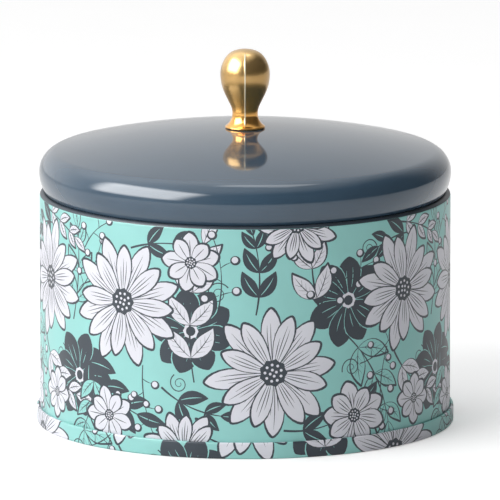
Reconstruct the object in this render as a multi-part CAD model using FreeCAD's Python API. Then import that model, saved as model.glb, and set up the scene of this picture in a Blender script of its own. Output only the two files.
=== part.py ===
import FreeCAD, Part
import math
import os

# Round tea caddy: printed tinplate body with a double-seamed base, and a domed
# lid with a plug ring and a cast knob. Millimetres, +Z up, origin on the table
# under the centre of the base, the photographed front facing -Y.

# Sheet metal
SHEET = 0.28                # tinplate thickness of every pressed piece
FOLD_CLEARANCE = 0.06       # air between the folded layers of the base seam

# Body wall
WALL_RADIUS = 60.0          # outside of the printed wall
RIM_HEIGHT = 67.8           # crown of the rolled rim above the table
RIM_CURL_RADIUS = 1.2       # outside radius of the rolled rim
RIM_CURL_TURN = 285.0       # degrees that the rim is rolled through
SIDE_LAP_WIDTH = 4.0        # welded side seam, lapped inside the wall at the back
SIDE_LAP_MARGIN = 1.0       # lap kept clear of the base seam and of the rolled rim
BACK = 90.0                 # bearing of the side seam around the axis, degrees

# Base plate and its double seam
SEAM_HEIGHT = 4.8           # seam band above the table
SEAM_FOOT_FLAT = 0.5        # flat ring that the caddy stands on
HOOK_END_CLEARANCE = 0.2    # air beyond the free end of each hook
PANEL_RISE = 3.4            # underside of the base panel above the table
PANEL_BEND_RADIUS = 0.9     # bend between panel and chuck wall, on the centre line
BEAD_INSET = 14.0           # middle of the panel's stiffening bead, inside the wall's face
BEAD_WIDTH = 5.2
BEAD_HEIGHT = 0.9

# Lid cover
LID_OVERHANG = 0.15         # widest ring of the bulging side, beyond the wall's face
DOME_EDGE_SLOPE = 13.3      # fall of the dome where the shoulder begins, degrees
SHOULDER_RADIUS = 6.4       # outside radius from the dome to the widest ring
FLANK_RADIUS = 11.2         # outside radius from the widest ring down to the hem
HEM_RADIUS = 0.6            # outside radius of the rolled lower hem
HEM_LEG = 1.2               # upturned leg of the hem that holds the plug ring
SEAT_CLEARANCE = 0.05       # air between the hem and the rolled rim

# Plug ring
PLUG_CLEARANCE = 0.3        # air between the plug skirt and the mouth
PLUG_DEPTH = 8.0            # skirt below the crown of the rim
PLUG_HEM_RADIUS = 0.6       # outside radius of the skirt's rolled lower edge
PLUG_HEM_TURN = 200.0       # degrees that this edge is rolled through
LOCK_CLEARANCE = 0.1        # air on each side of the hem's leg inside the ring's fold

# Knob
KNOB_RADIUS = 7.25          # widest ring of the bulb
KNOB_CROWN_RADIUS = 9.5     # flattish top
KNOB_SHOULDER_RADIUS = 5.2  # rounding from the top to the cheek
KNOB_CHEEK_RADIUS = 8.6     # slow curve down to the widest ring
KNOB_CHEEK_SWEEP = 36.0     # degrees
KNOB_BELLY_RADIUS = 13.2    # rounding from the widest ring into the taper
KNOB_TAPER = 26.2           # taper of the bulb towards the neck, degrees
KNOB_WAIST_RADIUS = 5.0     # hollow curve from the taper into the neck
KNOB_NECK_RADIUS = 3.75
KNOB_NECK_LENGTH = 0.25     # straight stretch of the neck
KNOB_FLARE_RADIUS = 4.3     # hollow curve from the neck out to the foot
KNOB_FLARE_SWEEP = 57.0     # degrees
KNOB_LIP_RADIUS = 0.35      # rounded edge of the foot
KNOB_RECESS_INSET = 1.2     # foot's hollow starts this far inside the lip's lowest ring
KNOB_RECESS_DEPTH = 0.4     # hollow under the foot, so that it stands on a ring
KNOB_SEAT_CLEARANCE = 0.02  # air between the foot and the dome

# Knob fastening
SCREW_RADIUS = 2.0          # thread outside
SCREW_REACH = 9.0           # thread above the underside of the dome
SCREW_HEAD_RADIUS = 4.0
SCREW_HEAD_HEIGHT = 2.4
SCREW_HEAD_ROUND = 1.4      # rounding of the pan head's edge
CROSS_LENGTH = 4.4          # cross recess in the head
CROSS_WIDTH = 0.8
CROSS_DEPTH = 1.2
THREAD_CLEARANCE = 0.05     # air around the thread in the knob
TAP_RUN_OUT = 1.5           # tapped hole beyond the end of the screw
HOLE_CLEARANCE = 0.3        # air around the thread in the lid and in the washers
FLAT_WASHER_RADIUS = 6.0
FLAT_WASHER_THICKNESS = 0.8
SPRING_WASHER_RADIUS = 3.8
SPRING_WASHER_THICKNESS = 1.0
SPRING_WASHER_SPLIT = 0.6   # width of the cut
SPRING_WASHER_LEAN = 25.0   # lean of the cut, degrees
STACK_CLEARANCE = 0.02      # air between the stacked washers, the head and the dome

# Places worked out from the sizes above
HALF = SHEET / 2.0
LAYER = SHEET + FOLD_CLEARANCE
WALL_MID = WALL_RADIUS - HALF
CHUCK_MID = WALL_MID - LAYER
BASE_HOOK_MID = WALL_MID + LAYER
WALL_HOOK_MID = BASE_HOOK_MID + LAYER
BAND_MID = WALL_HOOK_MID + LAYER
FOOT_BEND = (BAND_MID - CHUCK_MID - SEAM_FOOT_FLAT) / 2.0
WALL_FOLD_HEIGHT = SHEET + FOLD_CLEARANCE + LAYER + HALF
SEAM_CROWN_HEIGHT = SEAM_HEIGHT - LAYER - HALF

RIM_BEND = RIM_CURL_RADIUS - HALF
RIM_CENTRE_RADIUS = WALL_RADIUS - RIM_CURL_RADIUS
RIM_CENTRE_HEIGHT = RIM_HEIGHT - RIM_CURL_RADIUS
MOUTH_RADIUS = WALL_RADIUS - 2.0 * RIM_CURL_RADIUS

SKIRT_MID = MOUTH_RADIUS - PLUG_CLEARANCE - HALF
HEM_LEG_MID = SKIRT_MID + SHEET + LOCK_CLEARANCE
LIP_MID = HEM_LEG_MID + SHEET + LOCK_CLEARANCE
HEM_BEND = HEM_RADIUS - HALF
HEM_CENTRE_RADIUS = HEM_LEG_MID + HEM_BEND
HEM_REACH = HEM_RADIUS + RIM_CURL_RADIUS + SEAT_CLEARANCE
HEM_CENTRE_HEIGHT = RIM_CENTRE_HEIGHT + math.sqrt(
    HEM_REACH ** 2 - (RIM_CENTRE_RADIUS - HEM_CENTRE_RADIUS) ** 2)

LID_RADIUS = WALL_RADIUS + LID_OVERHANG
FLANK_CENTRE_RADIUS = LID_RADIUS - FLANK_RADIUS
FLANK_TO_HEM = FLANK_RADIUS - HEM_RADIUS
FLANK_SWEEP = math.degrees(math.acos((HEM_CENTRE_RADIUS - FLANK_CENTRE_RADIUS) / FLANK_TO_HEM))
WIDEST_HEIGHT = HEM_CENTRE_HEIGHT + FLANK_TO_HEM * math.sin(math.radians(FLANK_SWEEP))
DOME_SLOPE = math.radians(DOME_EDGE_SLOPE)
DOME_EDGE_RADIUS = LID_RADIUS - SHOULDER_RADIUS * (1.0 - math.sin(DOME_SLOPE))
DOME_EDGE_HEIGHT = WIDEST_HEIGHT + SHOULDER_RADIUS * math.cos(DOME_SLOPE)
DOME_RADIUS = DOME_EDGE_RADIUS / math.sin(DOME_SLOPE)
DOME_CENTRE_HEIGHT = DOME_EDGE_HEIGHT - DOME_RADIUS * math.cos(DOME_SLOPE)
HOLE_RADIUS = SCREW_RADIUS + HOLE_CLEARANCE


class Path:
    """A line in the (radius, height) half plane, grown from straights and bends."""

    def __init__(self, radius, height, heading):
        self.poses = [(radius, height, math.radians(heading))]
        self.middles = []

    def straight(self, length):
        """Go on by a length."""
        radius, height, heading = self.poses[-1]
        self.middles.append(None)
        self.poses.append((radius + length * math.cos(heading),
                           height + length * math.sin(heading), heading))
        return self

    def bend(self, radius, degrees):
        """Turn on an arc, left for a positive angle and right for a negative one."""
        start_radius, start_height, heading = self.poses[-1]
        turn = math.radians(degrees)
        side = math.copysign(radius, turn)
        centre_radius = start_radius - side * math.sin(heading)
        centre_height = start_height + side * math.cos(heading)
        for share, kept in ((0.5, self.middles), (1.0, self.poses)):
            now = heading + share * turn
            kept.append((centre_radius + side * math.sin(now),
                         centre_height - side * math.cos(now), now))
        return self

    def end(self):
        """Radius and height that the line has reached."""
        return self.poses[-1][:2]

    def edges(self, offset=0.0):
        """The line's edges, shifted to its left by an offset."""
        made = []
        for start, middle, stop in zip(self.poses, self.middles, self.poses[1:]):
            if middle is None:
                made.append(Part.LineSegment(beside(start, offset), beside(stop, offset)).toShape())
            else:
                arc = Part.Arc(beside(start, offset), beside(middle, offset), beside(stop, offset))
                made.append(arc.toShape())
        return made


def beside(pose, offset):
    """Point to the left of a pose on the line."""
    radius, height, heading = pose
    return at(radius - offset * math.sin(heading), height + offset * math.cos(heading))


def at(radius, height):
    """Point of the section plane."""
    return FreeCAD.Vector(radius, 0.0, height)


def turned(edges, degrees=360.0):
    """Solid turned about the axis from the closed outline that the edges make."""
    outline = Part.Wire(Part.__sortEdges__(edges))
    return Part.Face(outline).revolve(at(0.0, 0.0), FreeCAD.Vector(0.0, 0.0, 1.0), degrees)


def pressed(path):
    """Solid of bent sheet whose centre line is the path."""
    caps = [Part.LineSegment(beside(pose, HALF), beside(pose, -HALF)).toShape()
            for pose in (path.poses[0], path.poses[-1])]
    return turned(path.edges(HALF) + path.edges(-HALF) + caps)


def polygon_edges(corners):
    """Closed outline of straight edges through the corners."""
    points = [at(radius, height) for radius, height in corners]
    return Part.makePolygon(points + points[:1]).Edges


def ring(inner, outer, bottom, thickness):
    """Flat ring, or a disc where the inner radius is nothing."""
    top = bottom + thickness
    return turned(polygon_edges([(inner, bottom), (outer, bottom), (outer, top), (inner, top)]))


def dome_height(radius, depth=0.0):
    """Height of the dome at a radius, on its outside or a depth below it."""
    return DOME_CENTRE_HEIGHT + math.sqrt((DOME_RADIUS - depth) ** 2 - radius ** 2)


def body_wall():
    """Printed wall: hook in the base seam, fold, wall, rolled rim and lapped side seam."""
    hook_top = SEAM_CROWN_HEIGHT - HOOK_END_CLEARANCE
    path = Path(WALL_HOOK_MID, hook_top, -90.0)
    path.straight(hook_top - WALL_FOLD_HEIGHT)
    path.bend(LAYER, -180.0)
    path.straight(RIM_CENTRE_HEIGHT - WALL_FOLD_HEIGHT)
    path.bend(RIM_BEND, RIM_CURL_TURN)
    return pressed(path).fuse(side_lap()).Solids[0]


def side_lap():
    """Inner lap of the welded side seam, sunk into the wall that it is one sheet with."""
    bottom = SEAM_HEIGHT + SIDE_LAP_MARGIN
    top = RIM_HEIGHT - 2.0 * RIM_CURL_RADIUS - SIDE_LAP_MARGIN
    inner = WALL_RADIUS - 2.0 * SHEET
    outline = polygon_edges([(inner, bottom), (WALL_MID, bottom), (WALL_MID, top), (inner, top)])
    spread = math.degrees(SIDE_LAP_WIDTH / WALL_RADIUS)
    lap = turned(outline, spread)
    lap.rotate(at(0.0, 0.0), FreeCAD.Vector(0.0, 0.0, 1.0), BACK - spread / 2.0)
    return lap


def base_plate():
    """Base: beaded panel, chuck wall, foot, outer band and the hook folded behind the wall's hook."""
    bead_turn = 2.0 * math.degrees(math.atan(2.0 * BEAD_HEIGHT / BEAD_WIDTH))
    bead_bend = BEAD_WIDTH / (4.0 * math.sin(math.radians(bead_turn)))
    panel_end = CHUCK_MID - PANEL_BEND_RADIUS
    panel_mid = PANEL_RISE + HALF
    foot_height = FOOT_BEND + HALF
    path = Path(0.0, panel_mid, 0.0)
    path.straight(WALL_RADIUS - BEAD_INSET - BEAD_WIDTH / 2.0)
    for turn in (bead_turn, -2.0 * bead_turn, bead_turn):
        path.bend(bead_bend, turn)
    path.straight(panel_end - path.end()[0])
    path.bend(PANEL_BEND_RADIUS, -90.0)
    path.straight(path.end()[1] - foot_height)
    path.bend(FOOT_BEND, 90.0)
    path.straight(SEAM_FOOT_FLAT)
    path.bend(FOOT_BEND, 90.0)
    path.straight(SEAM_CROWN_HEIGHT - foot_height)
    path.bend(LAYER, 180.0)
    path.straight(SEAM_CROWN_HEIGHT - WALL_FOLD_HEIGHT - HOOK_END_CLEARANCE)
    return pressed(path)


def lid_cover():
    """Outer lid: dome with the screw hole, shoulder, bulging flank and hook-shaped hem."""
    dome_bend = DOME_RADIUS - HALF
    hole_slope = math.asin(HOLE_RADIUS / dome_bend)
    path = Path(HOLE_RADIUS, dome_height(HOLE_RADIUS, HALF), -math.degrees(hole_slope))
    path.bend(dome_bend, math.degrees(hole_slope) - DOME_EDGE_SLOPE)
    path.bend(SHOULDER_RADIUS - HALF, DOME_EDGE_SLOPE - 90.0)
    path.bend(FLANK_RADIUS - HALF, -FLANK_SWEEP)
    path.bend(HEM_BEND, FLANK_SWEEP - 180.0)
    path.straight(HEM_LEG)
    return pressed(path)


def lid_plug_ring():
    """Plug ring: lip caught in the cover's hem, fold over the hem's leg, skirt and rolled edge."""
    fold_height = HEM_CENTRE_HEIGHT + HEM_LEG
    skirt_end = RIM_HEIGHT - PLUG_DEPTH + PLUG_HEM_RADIUS
    path = Path(LIP_MID, HEM_CENTRE_HEIGHT, 90.0)
    path.straight(HEM_LEG)
    path.bend((LIP_MID - SKIRT_MID) / 2.0, 180.0)
    path.straight(fold_height - skirt_end)
    path.bend(PLUG_HEM_RADIUS - HALF, -PLUG_HEM_TURN)
    return pressed(path)


def knob_outline():
    """Knob's outside from the crown to the foot, with the crown at height nothing."""
    cheek_start = 90.0 - KNOB_CHEEK_SWEEP
    cheek_sine = math.sin(math.radians(cheek_start))
    taper = math.radians(KNOB_TAPER)
    cheek_reach = KNOB_SHOULDER_RADIUS * cheek_sine + KNOB_CHEEK_RADIUS * (1.0 - cheek_sine)
    crown_sine = (KNOB_RADIUS - cheek_reach) / (KNOB_CROWN_RADIUS - KNOB_SHOULDER_RADIUS)
    crown_sweep = math.degrees(math.asin(crown_sine))
    round_reach = (KNOB_BELLY_RADIUS + KNOB_WAIST_RADIUS) * (1.0 - math.cos(taper))
    taper_length = (KNOB_RADIUS - KNOB_NECK_RADIUS - round_reach) / math.sin(taper)
    path = Path(0.0, 0.0, 0.0)
    path.bend(KNOB_CROWN_RADIUS, -crown_sweep)
    path.bend(KNOB_SHOULDER_RADIUS, crown_sweep - cheek_start)
    path.bend(KNOB_CHEEK_RADIUS, -KNOB_CHEEK_SWEEP)
    path.bend(KNOB_BELLY_RADIUS, -KNOB_TAPER)
    path.straight(taper_length)
    path.bend(KNOB_WAIST_RADIUS, KNOB_TAPER)
    path.straight(KNOB_NECK_LENGTH)
    path.bend(KNOB_FLARE_RADIUS, KNOB_FLARE_SWEEP)
    path.bend(KNOB_LIP_RADIUS, -90.0 - KNOB_FLARE_SWEEP)
    return path


def knob():
    """Cast knob on the dome: bulb, neck and flared foot, hollow underneath and tapped."""
    path = knob_outline()
    foot_radius, foot_height = path.end()
    recess_radius = foot_radius - KNOB_RECESS_INSET
    seat_height = dome_height(recess_radius) + KNOB_SEAT_CLEARANCE
    recess_top = foot_height + KNOB_RECESS_DEPTH
    tap_radius = SCREW_RADIUS + THREAD_CLEARANCE
    tap_top = dome_height(0.0) + SCREW_REACH + TAP_RUN_OUT - seat_height + foot_height
    corners = [(foot_radius, foot_height), (recess_radius, foot_height), (recess_radius, recess_top),
               (tap_radius, recess_top), (tap_radius, tap_top), (0.0, tap_top), (0.0, 0.0)]
    points = [at(radius, height) for radius, height in corners]
    solid = turned(path.edges() + Part.makePolygon(points).Edges)
    solid.translate(at(0.0, seat_height - foot_height))
    return solid


def stack_heights():
    """Undersides of the flat washer and of the spring washer, from the dome downwards."""
    flat = dome_height(FLAT_WASHER_RADIUS, SHEET) - STACK_CLEARANCE - FLAT_WASHER_THICKNESS
    spring = flat - STACK_CLEARANCE - SPRING_WASHER_THICKNESS
    return flat, spring


def flat_washer():
    """Plain washer under the dome."""
    return ring(HOLE_RADIUS, FLAT_WASHER_RADIUS, stack_heights()[0], FLAT_WASHER_THICKNESS)


def spring_washer():
    """Split lock washer, pressed flat, with a leaning cut through one side."""
    bottom = stack_heights()[1]
    washer = ring(HOLE_RADIUS, SPRING_WASHER_RADIUS, bottom, SPRING_WASHER_THICKNESS)
    depth = 4.0 * SPRING_WASHER_THICKNESS
    corner = FreeCAD.Vector(0.0, -SPRING_WASHER_SPLIT / 2.0, -depth / 2.0)
    split = Part.makeBox(2.0 * SPRING_WASHER_RADIUS, SPRING_WASHER_SPLIT, depth, corner)
    split.rotate(at(0.0, 0.0), FreeCAD.Vector(1.0, 0.0, 0.0), SPRING_WASHER_LEAN)
    split.translate(at(0.0, bottom + SPRING_WASHER_THICKNESS / 2.0))
    return washer.cut(split).Solids[0]


def knob_screw():
    """Pan-head screw with a cross recess, from inside the lid up into the knob."""
    seat = stack_heights()[1] - STACK_CLEARANCE
    tip = dome_height(0.0) + SCREW_REACH
    path = Path(0.0, seat - SCREW_HEAD_HEIGHT, 0.0)
    path.straight(SCREW_HEAD_RADIUS - SCREW_HEAD_ROUND)
    path.bend(SCREW_HEAD_ROUND, 90.0)
    path.straight(seat - path.end()[1])
    corners = [path.end(), (SCREW_RADIUS, seat), (SCREW_RADIUS, tip), (0.0, tip), (0.0, path.poses[0][1])]
    points = [at(radius, height) for radius, height in corners]
    screw = turned(path.edges() + Part.makePolygon(points).Edges)
    for length, width in ((CROSS_LENGTH, CROSS_WIDTH), (CROSS_WIDTH, CROSS_LENGTH)):
        corner = FreeCAD.Vector(-length / 2.0, -width / 2.0, seat - SCREW_HEAD_HEIGHT)
        screw = screw.cut(Part.makeBox(length, width, CROSS_DEPTH, corner))
    return screw.Solids[0]


PIECES = (body_wall, base_plate, lid_cover, lid_plug_ring, knob, knob_screw, flat_washer, spring_washer)

os.makedirs("parts", exist_ok=True)
for piece in PIECES:
    shape = piece()
    shape.exportStep("parts/" + piece.__name__ + ".step")
    print(piece.__name__, shape.ShapeType, shape.isValid(), round(shape.Volume, 2), shape.BoundBox)
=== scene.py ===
"""Looks of a round printed tea caddy with a domed enamelled lid and a cast brass knob.

Sizes are millimetres in the part's own frame: +Z up, the origin on the table under the
centre of the base and the front facing -Y. Meshes are scaled to metres as they are made.
"""
import logging
import math
from dataclasses import dataclass, field
from enum import Enum, IntEnum
from typing import NamedTuple, Optional

import bmesh
import bpy
import numpy as np
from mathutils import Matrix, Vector
from mathutils.geometry import delaunay_2d_cdt


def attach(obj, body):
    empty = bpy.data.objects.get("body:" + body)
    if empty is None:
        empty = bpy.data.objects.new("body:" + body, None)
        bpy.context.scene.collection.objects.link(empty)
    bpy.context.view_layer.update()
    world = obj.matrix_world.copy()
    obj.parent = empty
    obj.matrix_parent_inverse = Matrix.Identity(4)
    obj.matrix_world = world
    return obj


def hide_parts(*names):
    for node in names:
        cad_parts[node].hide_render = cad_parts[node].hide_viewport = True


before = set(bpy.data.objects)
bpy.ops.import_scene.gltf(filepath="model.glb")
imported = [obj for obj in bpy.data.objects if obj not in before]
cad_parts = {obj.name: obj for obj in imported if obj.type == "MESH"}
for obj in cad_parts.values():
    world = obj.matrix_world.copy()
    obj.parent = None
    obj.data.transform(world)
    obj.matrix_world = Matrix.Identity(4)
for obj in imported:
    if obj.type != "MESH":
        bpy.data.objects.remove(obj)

Pair = tuple[float, float]
Triple = tuple[float, float, float]
Colour = tuple[float, float, float]
Box = tuple[float, float, float, float]
Material = bpy.types.Material
Socket = bpy.types.NodeSocket

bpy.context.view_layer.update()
MM = 0.001                  # metres in a millimetre
COLUMNS = 240               # mesh columns around every pressed piece
BACK = math.pi / 2.0        # bearing of the side seam, behind the axis
RIDGE = "ridge"             # mesh attribute that marks the knob's parting ridge
CHART = "OFBake"            # name of a piece's own chart
GUTTER = 0.004              # space around each strip of a chart
WELD = 2e-7                 # metres within which the patches of a piece are joined
SNAP = 1e-5                 # millimetres within which points of the flat print are one
ON_AXIS = 1e-9              # millimetres from the axis within which a point is put on it
THIN = 0.02                 # least half width of a printed shape, mm
BEND = math.radians(1.0)    # a section's line bends where it turns more than this
SHARP = math.radians(40.0)  # edges that fold more than this are drawn sharp

log = logging.getLogger("tea_caddy")


class Body(Enum):
    """The two bodies that pieces ride on."""

    CADDY = "caddy"
    LID = "lid"


class Ink(IntEnum):
    """What a triangle of the printed sheet is covered with."""

    GROUND = 0
    PETAL = 1
    LINE = 2
    MARGIN = 3


class Shines(Enum):
    """Which light of a lamp counts: what falls softly, what is seen in gloss, or both."""

    SOFT = "soft"
    GLOSS = "gloss"
    ALL = "all"


class Leafing(Enum):
    """Ways to draw a leaf of the print."""

    FILLED = "filled"
    OPEN = "open"
    SOLID = "solid"


@dataclass(frozen=True)
class Seat:
    """Where a piece belongs: its body, the node that it stands for and its material slot."""

    body: Body
    node: str
    slot: str


@dataclass
class Patch:
    """Part of a piece's surface, in millimetres.

    faces holds corner numbers, finish one material number a face, chart, where it is given,
    a place on the unrolled sheet for each corner of each face, and marks a share of the
    parting ridge for each point.
    """

    points: np.ndarray
    faces: np.ndarray
    finish: np.ndarray
    chart: Optional[np.ndarray] = None
    marks: Optional[np.ndarray] = None


class Section:
    """A line in the (radius, height) half plane, grown from straights and bends."""

    def __init__(self, radius: float, height: float, heading: float) -> None:
        """Start the line.

        Args:
            radius: distance from the axis, mm.
            height: height above the table, mm.
            heading: direction in degrees, 0 outwards and 90 upwards.
        """
        self.poses = np.array([[radius, height, math.radians(heading)]])

    def straight(self, length: float, steps: int = 1) -> "Section":
        """Go on by a length.

        Args:
            length: how far, mm.
            steps: points to add.

        Returns:
            The line itself.
        """
        radius, height, heading = self.poses[-1]
        far = length * np.linspace(0.0, 1.0, steps + 1)[1:]
        run = np.stack([radius + far * math.cos(heading), height + far * math.sin(heading),
                        np.full(steps, heading)], axis=1)
        self.poses = np.concatenate([self.poses, run])
        return self

    def bend(self, radius: float, degrees: float, steps: int) -> "Section":
        """Turn on an arc: the point stays at one distance from a centre beside the line.

        Args:
            radius: radius of the arc, mm.
            degrees: turn, to the left where positive.
            steps: points to add.

        Returns:
            The line itself.
        """
        start_radius, start_height, heading = self.poses[-1]
        side = math.copysign(radius, degrees)
        now = heading + math.radians(degrees) * np.linspace(0.0, 1.0, steps + 1)[1:]
        centre_radius = start_radius - side * math.sin(heading)
        centre_height = start_height + side * math.cos(heading)
        arc = np.stack([centre_radius + side * np.sin(now), centre_height - side * np.cos(now), now], axis=1)
        self.poses = np.concatenate([self.poses, arc])
        return self

    def end(self) -> Pair:
        """Radius and height that the line has reached."""
        return float(self.poses[-1, 0]), float(self.poses[-1, 1])

    def last(self) -> int:
        """Number of the last point so far."""
        return len(self.poses) - 1

    def line(self, offset: float = 0.0) -> np.ndarray:
        """The line's points, shifted to its left.

        Args:
            offset: distance to the left, mm.

        Returns:
            Rows of radius and height.
        """
        radius, height, heading = self.poses.T
        moved = np.stack([radius - offset * np.sin(heading), height + offset * np.cos(heading)], axis=1)
        moved[np.abs(moved[:, 0]) < ON_AXIS, 0] = 0.0
        return moved


def turned(line: np.ndarray, finish: np.ndarray, bearings: Optional[np.ndarray] = None,
           closed: bool = True) -> Patch:
    """Surface of revolution: each point of a line is carried round the axis.

    A point (r, z) at bearing a lies at (r cos a, r sin a, z), on a grid of points by columns.

    Args:
        line: rows of radius and height, mm.
        finish: material number of each interval of the line, or -1 to leave it open.
        bearings: rising bearings of the columns in radians, even all round where none are given.
        closed: whether the last column is joined to the first.

    Returns:
        The patch.
    """
    if bearings is None:
        bearings = 2.0 * np.pi * np.arange(COLUMNS) / COLUMNS
    columns, rows = len(bearings), len(line)
    spans = columns if closed else columns - 1
    radius, height = line[:, 0], line[:, 1]
    points = np.stack([np.outer(np.cos(bearings), radius), np.outer(np.sin(bearings), radius),
                       np.broadcast_to(height, (columns, rows))], axis=-1)
    here = np.arange(spans)[:, None] * rows + np.arange(rows - 1)[None, :]
    there = (here + rows) % (columns * rows)
    quads = np.stack([here, there, there + 1, here + 1], axis=-1)
    kept = finish >= 0
    return Patch(points.reshape(-1, 3), quads[:, kept].reshape(-1, 4), np.tile(finish[kept], spans))


def lengths_along(line: np.ndarray) -> np.ndarray:
    """Distance travelled at each point of a line.

    Args:
        line: rows of radius and height, mm.

    Returns:
        One length a point, starting at nothing.
    """
    return np.concatenate([[0.0], np.cumsum(np.linalg.norm(np.diff(line, axis=0), axis=1))])


def placed(name: str, data: bpy.types.ID) -> bpy.types.Object:
    """Put an object into the scene.

    Args:
        name: name of the object.
        data: its mesh, lamp or camera.

    Returns:
        The object, at the origin.
    """
    made = bpy.data.objects.new(name, data)
    bpy.context.scene.collection.objects.link(made)
    return made


def make_piece(name: str, patches: list[Patch], finishes: list[Material], seat: Seat) -> bpy.types.Object:
    """Join patches into one closed mesh, dress it and seat it on its body.

    Args:
        name: name of the piece.
        patches: its surfaces, in millimetres.
        finishes: materials in the order of the patches' material numbers.
        seat: body, node and slot of the piece.

    Returns:
        The finished object, at the origin.
    """
    starts = np.cumsum([0] + [len(patch.points) for patch in patches])
    mesh = bpy.data.meshes.new(name)
    corners = [row for patch, start in zip(patches, starts) for row in (patch.faces + start).tolist()]
    mesh.from_pydata(np.concatenate([patch.points for patch in patches]) * MM, [], corners)
    numbers = np.concatenate([patch.finish for patch in patches])
    mesh.polygons.foreach_set("material_index", numbers.astype(np.int32))
    if all(patch.chart is not None for patch in patches):
        chart = mesh.uv_layers.new(name=CHART)
        places = np.concatenate([patch.chart.reshape(-1, 2) for patch in patches])
        chart.data.foreach_set("uv", places.astype(np.float32).ravel())
    if all(patch.marks is not None for patch in patches):
        ridge = mesh.attributes.new(RIDGE, "FLOAT", "POINT")
        ridge.data.foreach_set("value", np.concatenate([patch.marks for patch in patches]).astype(np.float32))
    weld(mesh)
    for material in finishes:
        mesh.materials.append(material)
    mesh.shade_smooth()
    mesh.set_sharp_from_angle(angle=SHARP)
    piece = placed(name, mesh)
    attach(piece, seat.body.value)
    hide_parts(seat.node)
    log.info("%s: %d points, %d faces, on %s", name, len(mesh.vertices), len(mesh.polygons), seat.body.value)
    return piece


def weld(mesh: bpy.types.Mesh) -> None:
    """Join the rims of a mesh's patches and turn its faces outwards.

    Args:
        mesh: the mesh to mend in place.
    """
    work = bmesh.new()
    work.from_mesh(mesh)
    bmesh.ops.remove_doubles(work, verts=work.verts, dist=WELD)
    bmesh.ops.recalc_face_normals(work, faces=work.faces)
    work.to_mesh(mesh)
    work.free()
    mesh.validate()


@dataclass(frozen=True)
class Blade:
    """A petal or leaf: a centre line on an arc, with a half width that swells and closes."""

    length: float
    half_width: float
    curl: float = 0.0
    swell: float = 1.0
    fullness: float = 0.8
    least_curl: float = 1e-6
    tip_growth: float = 0.9

    def at(self, along: np.ndarray, across: np.ndarray) -> np.ndarray:
        """Points beside the centre line, which turns steadily through the curl.

        Args:
            along: shares of the length.
            across: distances to the left of the centre line, mm.

        Returns:
            Rows of x and y, from the blade's foot.
        """
        turn = self.curl if abs(self.curl) > self.least_curl else self.least_curl
        heading = turn * along
        x = self.length * np.sin(heading) / turn
        y = self.length * (1.0 - np.cos(heading)) / turn
        return np.stack([x - across * np.sin(heading), y + across * np.cos(heading)], axis=-1)

    def width(self, along: np.ndarray) -> np.ndarray:
        """Half width at shares of the length: a sine lobe, its middle moved by the swell."""
        return self.half_width * np.sin(np.pi * along ** self.swell) ** self.fullness

    def edge(self, left: float, right: float, steps: int = 13) -> np.ndarray:
        """Closed outline, grown or shrunk by a pen's width.

        Args:
            left: growth of the left side, mm.
            right: growth of the right side, mm.
            steps: points on each side, closer together at the ends.

        Returns:
            Rows of x and y.
        """
        along = (1.0 - np.cos(np.linspace(0.0, np.pi, steps))) / 2.0
        reach = 1.0 + self.tip_growth * (left + right) / self.length
        sides = [self.at(along * reach, sign * np.maximum(self.width(along) + grown, THIN))
                 for sign, grown in ((1.0, left), (-1.0, right))]
        return np.concatenate([sides[0], sides[1][::-1]])

    def vein(self, share: float, start: float, stop: float, weight: float, steps: int = 6) -> np.ndarray:
        """Thin lens that follows the blade at a share of its half width.

        Args:
            share: share of the half width, to the left where positive.
            start: share of the length where it begins.
            stop: share of the length where it ends.
            weight: half thickness of the pen, mm.
            steps: points on each side.

        Returns:
            Rows of x and y.
        """
        along = np.linspace(start, stop, steps)
        middle = share * self.width(along)
        pen = weight * np.sin(np.linspace(0.25, np.pi, steps)) + THIN
        return np.concatenate([self.at(along, middle + pen), self.at(along, middle - pen)[::-1]])

    def side_vein(self, start: float, side: float, weight: float, run: float = 0.17, share: float = 0.62,
                  taper: float = 0.35, steps: int = 4) -> np.ndarray:
        """Short stroke from the middle vein towards an edge.

        Args:
            start: share of the length where it leaves the middle vein.
            side: 1 to the left, -1 to the right.
            weight: half thickness of the pen, mm.
            run: share of the length that it covers.
            share: share of the half width that it reaches.
            taper: share of the pen's weight that is left at its end.
            steps: points on each side.

        Returns:
            Rows of x and y.
        """
        along = np.linspace(start, start + run, steps)
        middle = side * np.linspace(0.0, share, steps) * self.width(along)
        pen = weight * np.linspace(1.0, taper, steps)
        return np.concatenate([self.at(along, middle + pen), self.at(along, middle - pen)[::-1]])


class Bloom(NamedTuple):
    """Middle, petal length, number of petals and turn in radians of a daisy."""

    place: Pair
    radius: float
    petals: int
    turn: float


class Sprig(NamedTuple):
    """Foot, heading in degrees, length and curl of a stem, and its pairs of leaves with their length."""

    foot: Pair
    heading: float
    length: float
    curl: float
    pairs: int
    leaf: float
    leafing: Leafing


class BerryStem(NamedTuple):
    """Foot, heading in degrees, length and curl of a stem, and its berries with their radius."""

    foot: Pair
    heading: float
    length: float
    curl: float
    berries: int
    size: float


class Tendril(NamedTuple):
    """Foot, heading in degrees and first radius of a tendril, and its hand: 1 left, -1 right."""

    foot: Pair
    heading: float
    size: float
    hand: int


@dataclass(frozen=True)
class PetalCut:
    """How a daisy's petals are cut: shares of its radius, their curl and form, and how uneven they are."""

    reach: float
    breadth: float
    uneven: float
    curl: float
    swell: float
    fullness: float
    sway: float = 0.12


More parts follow.
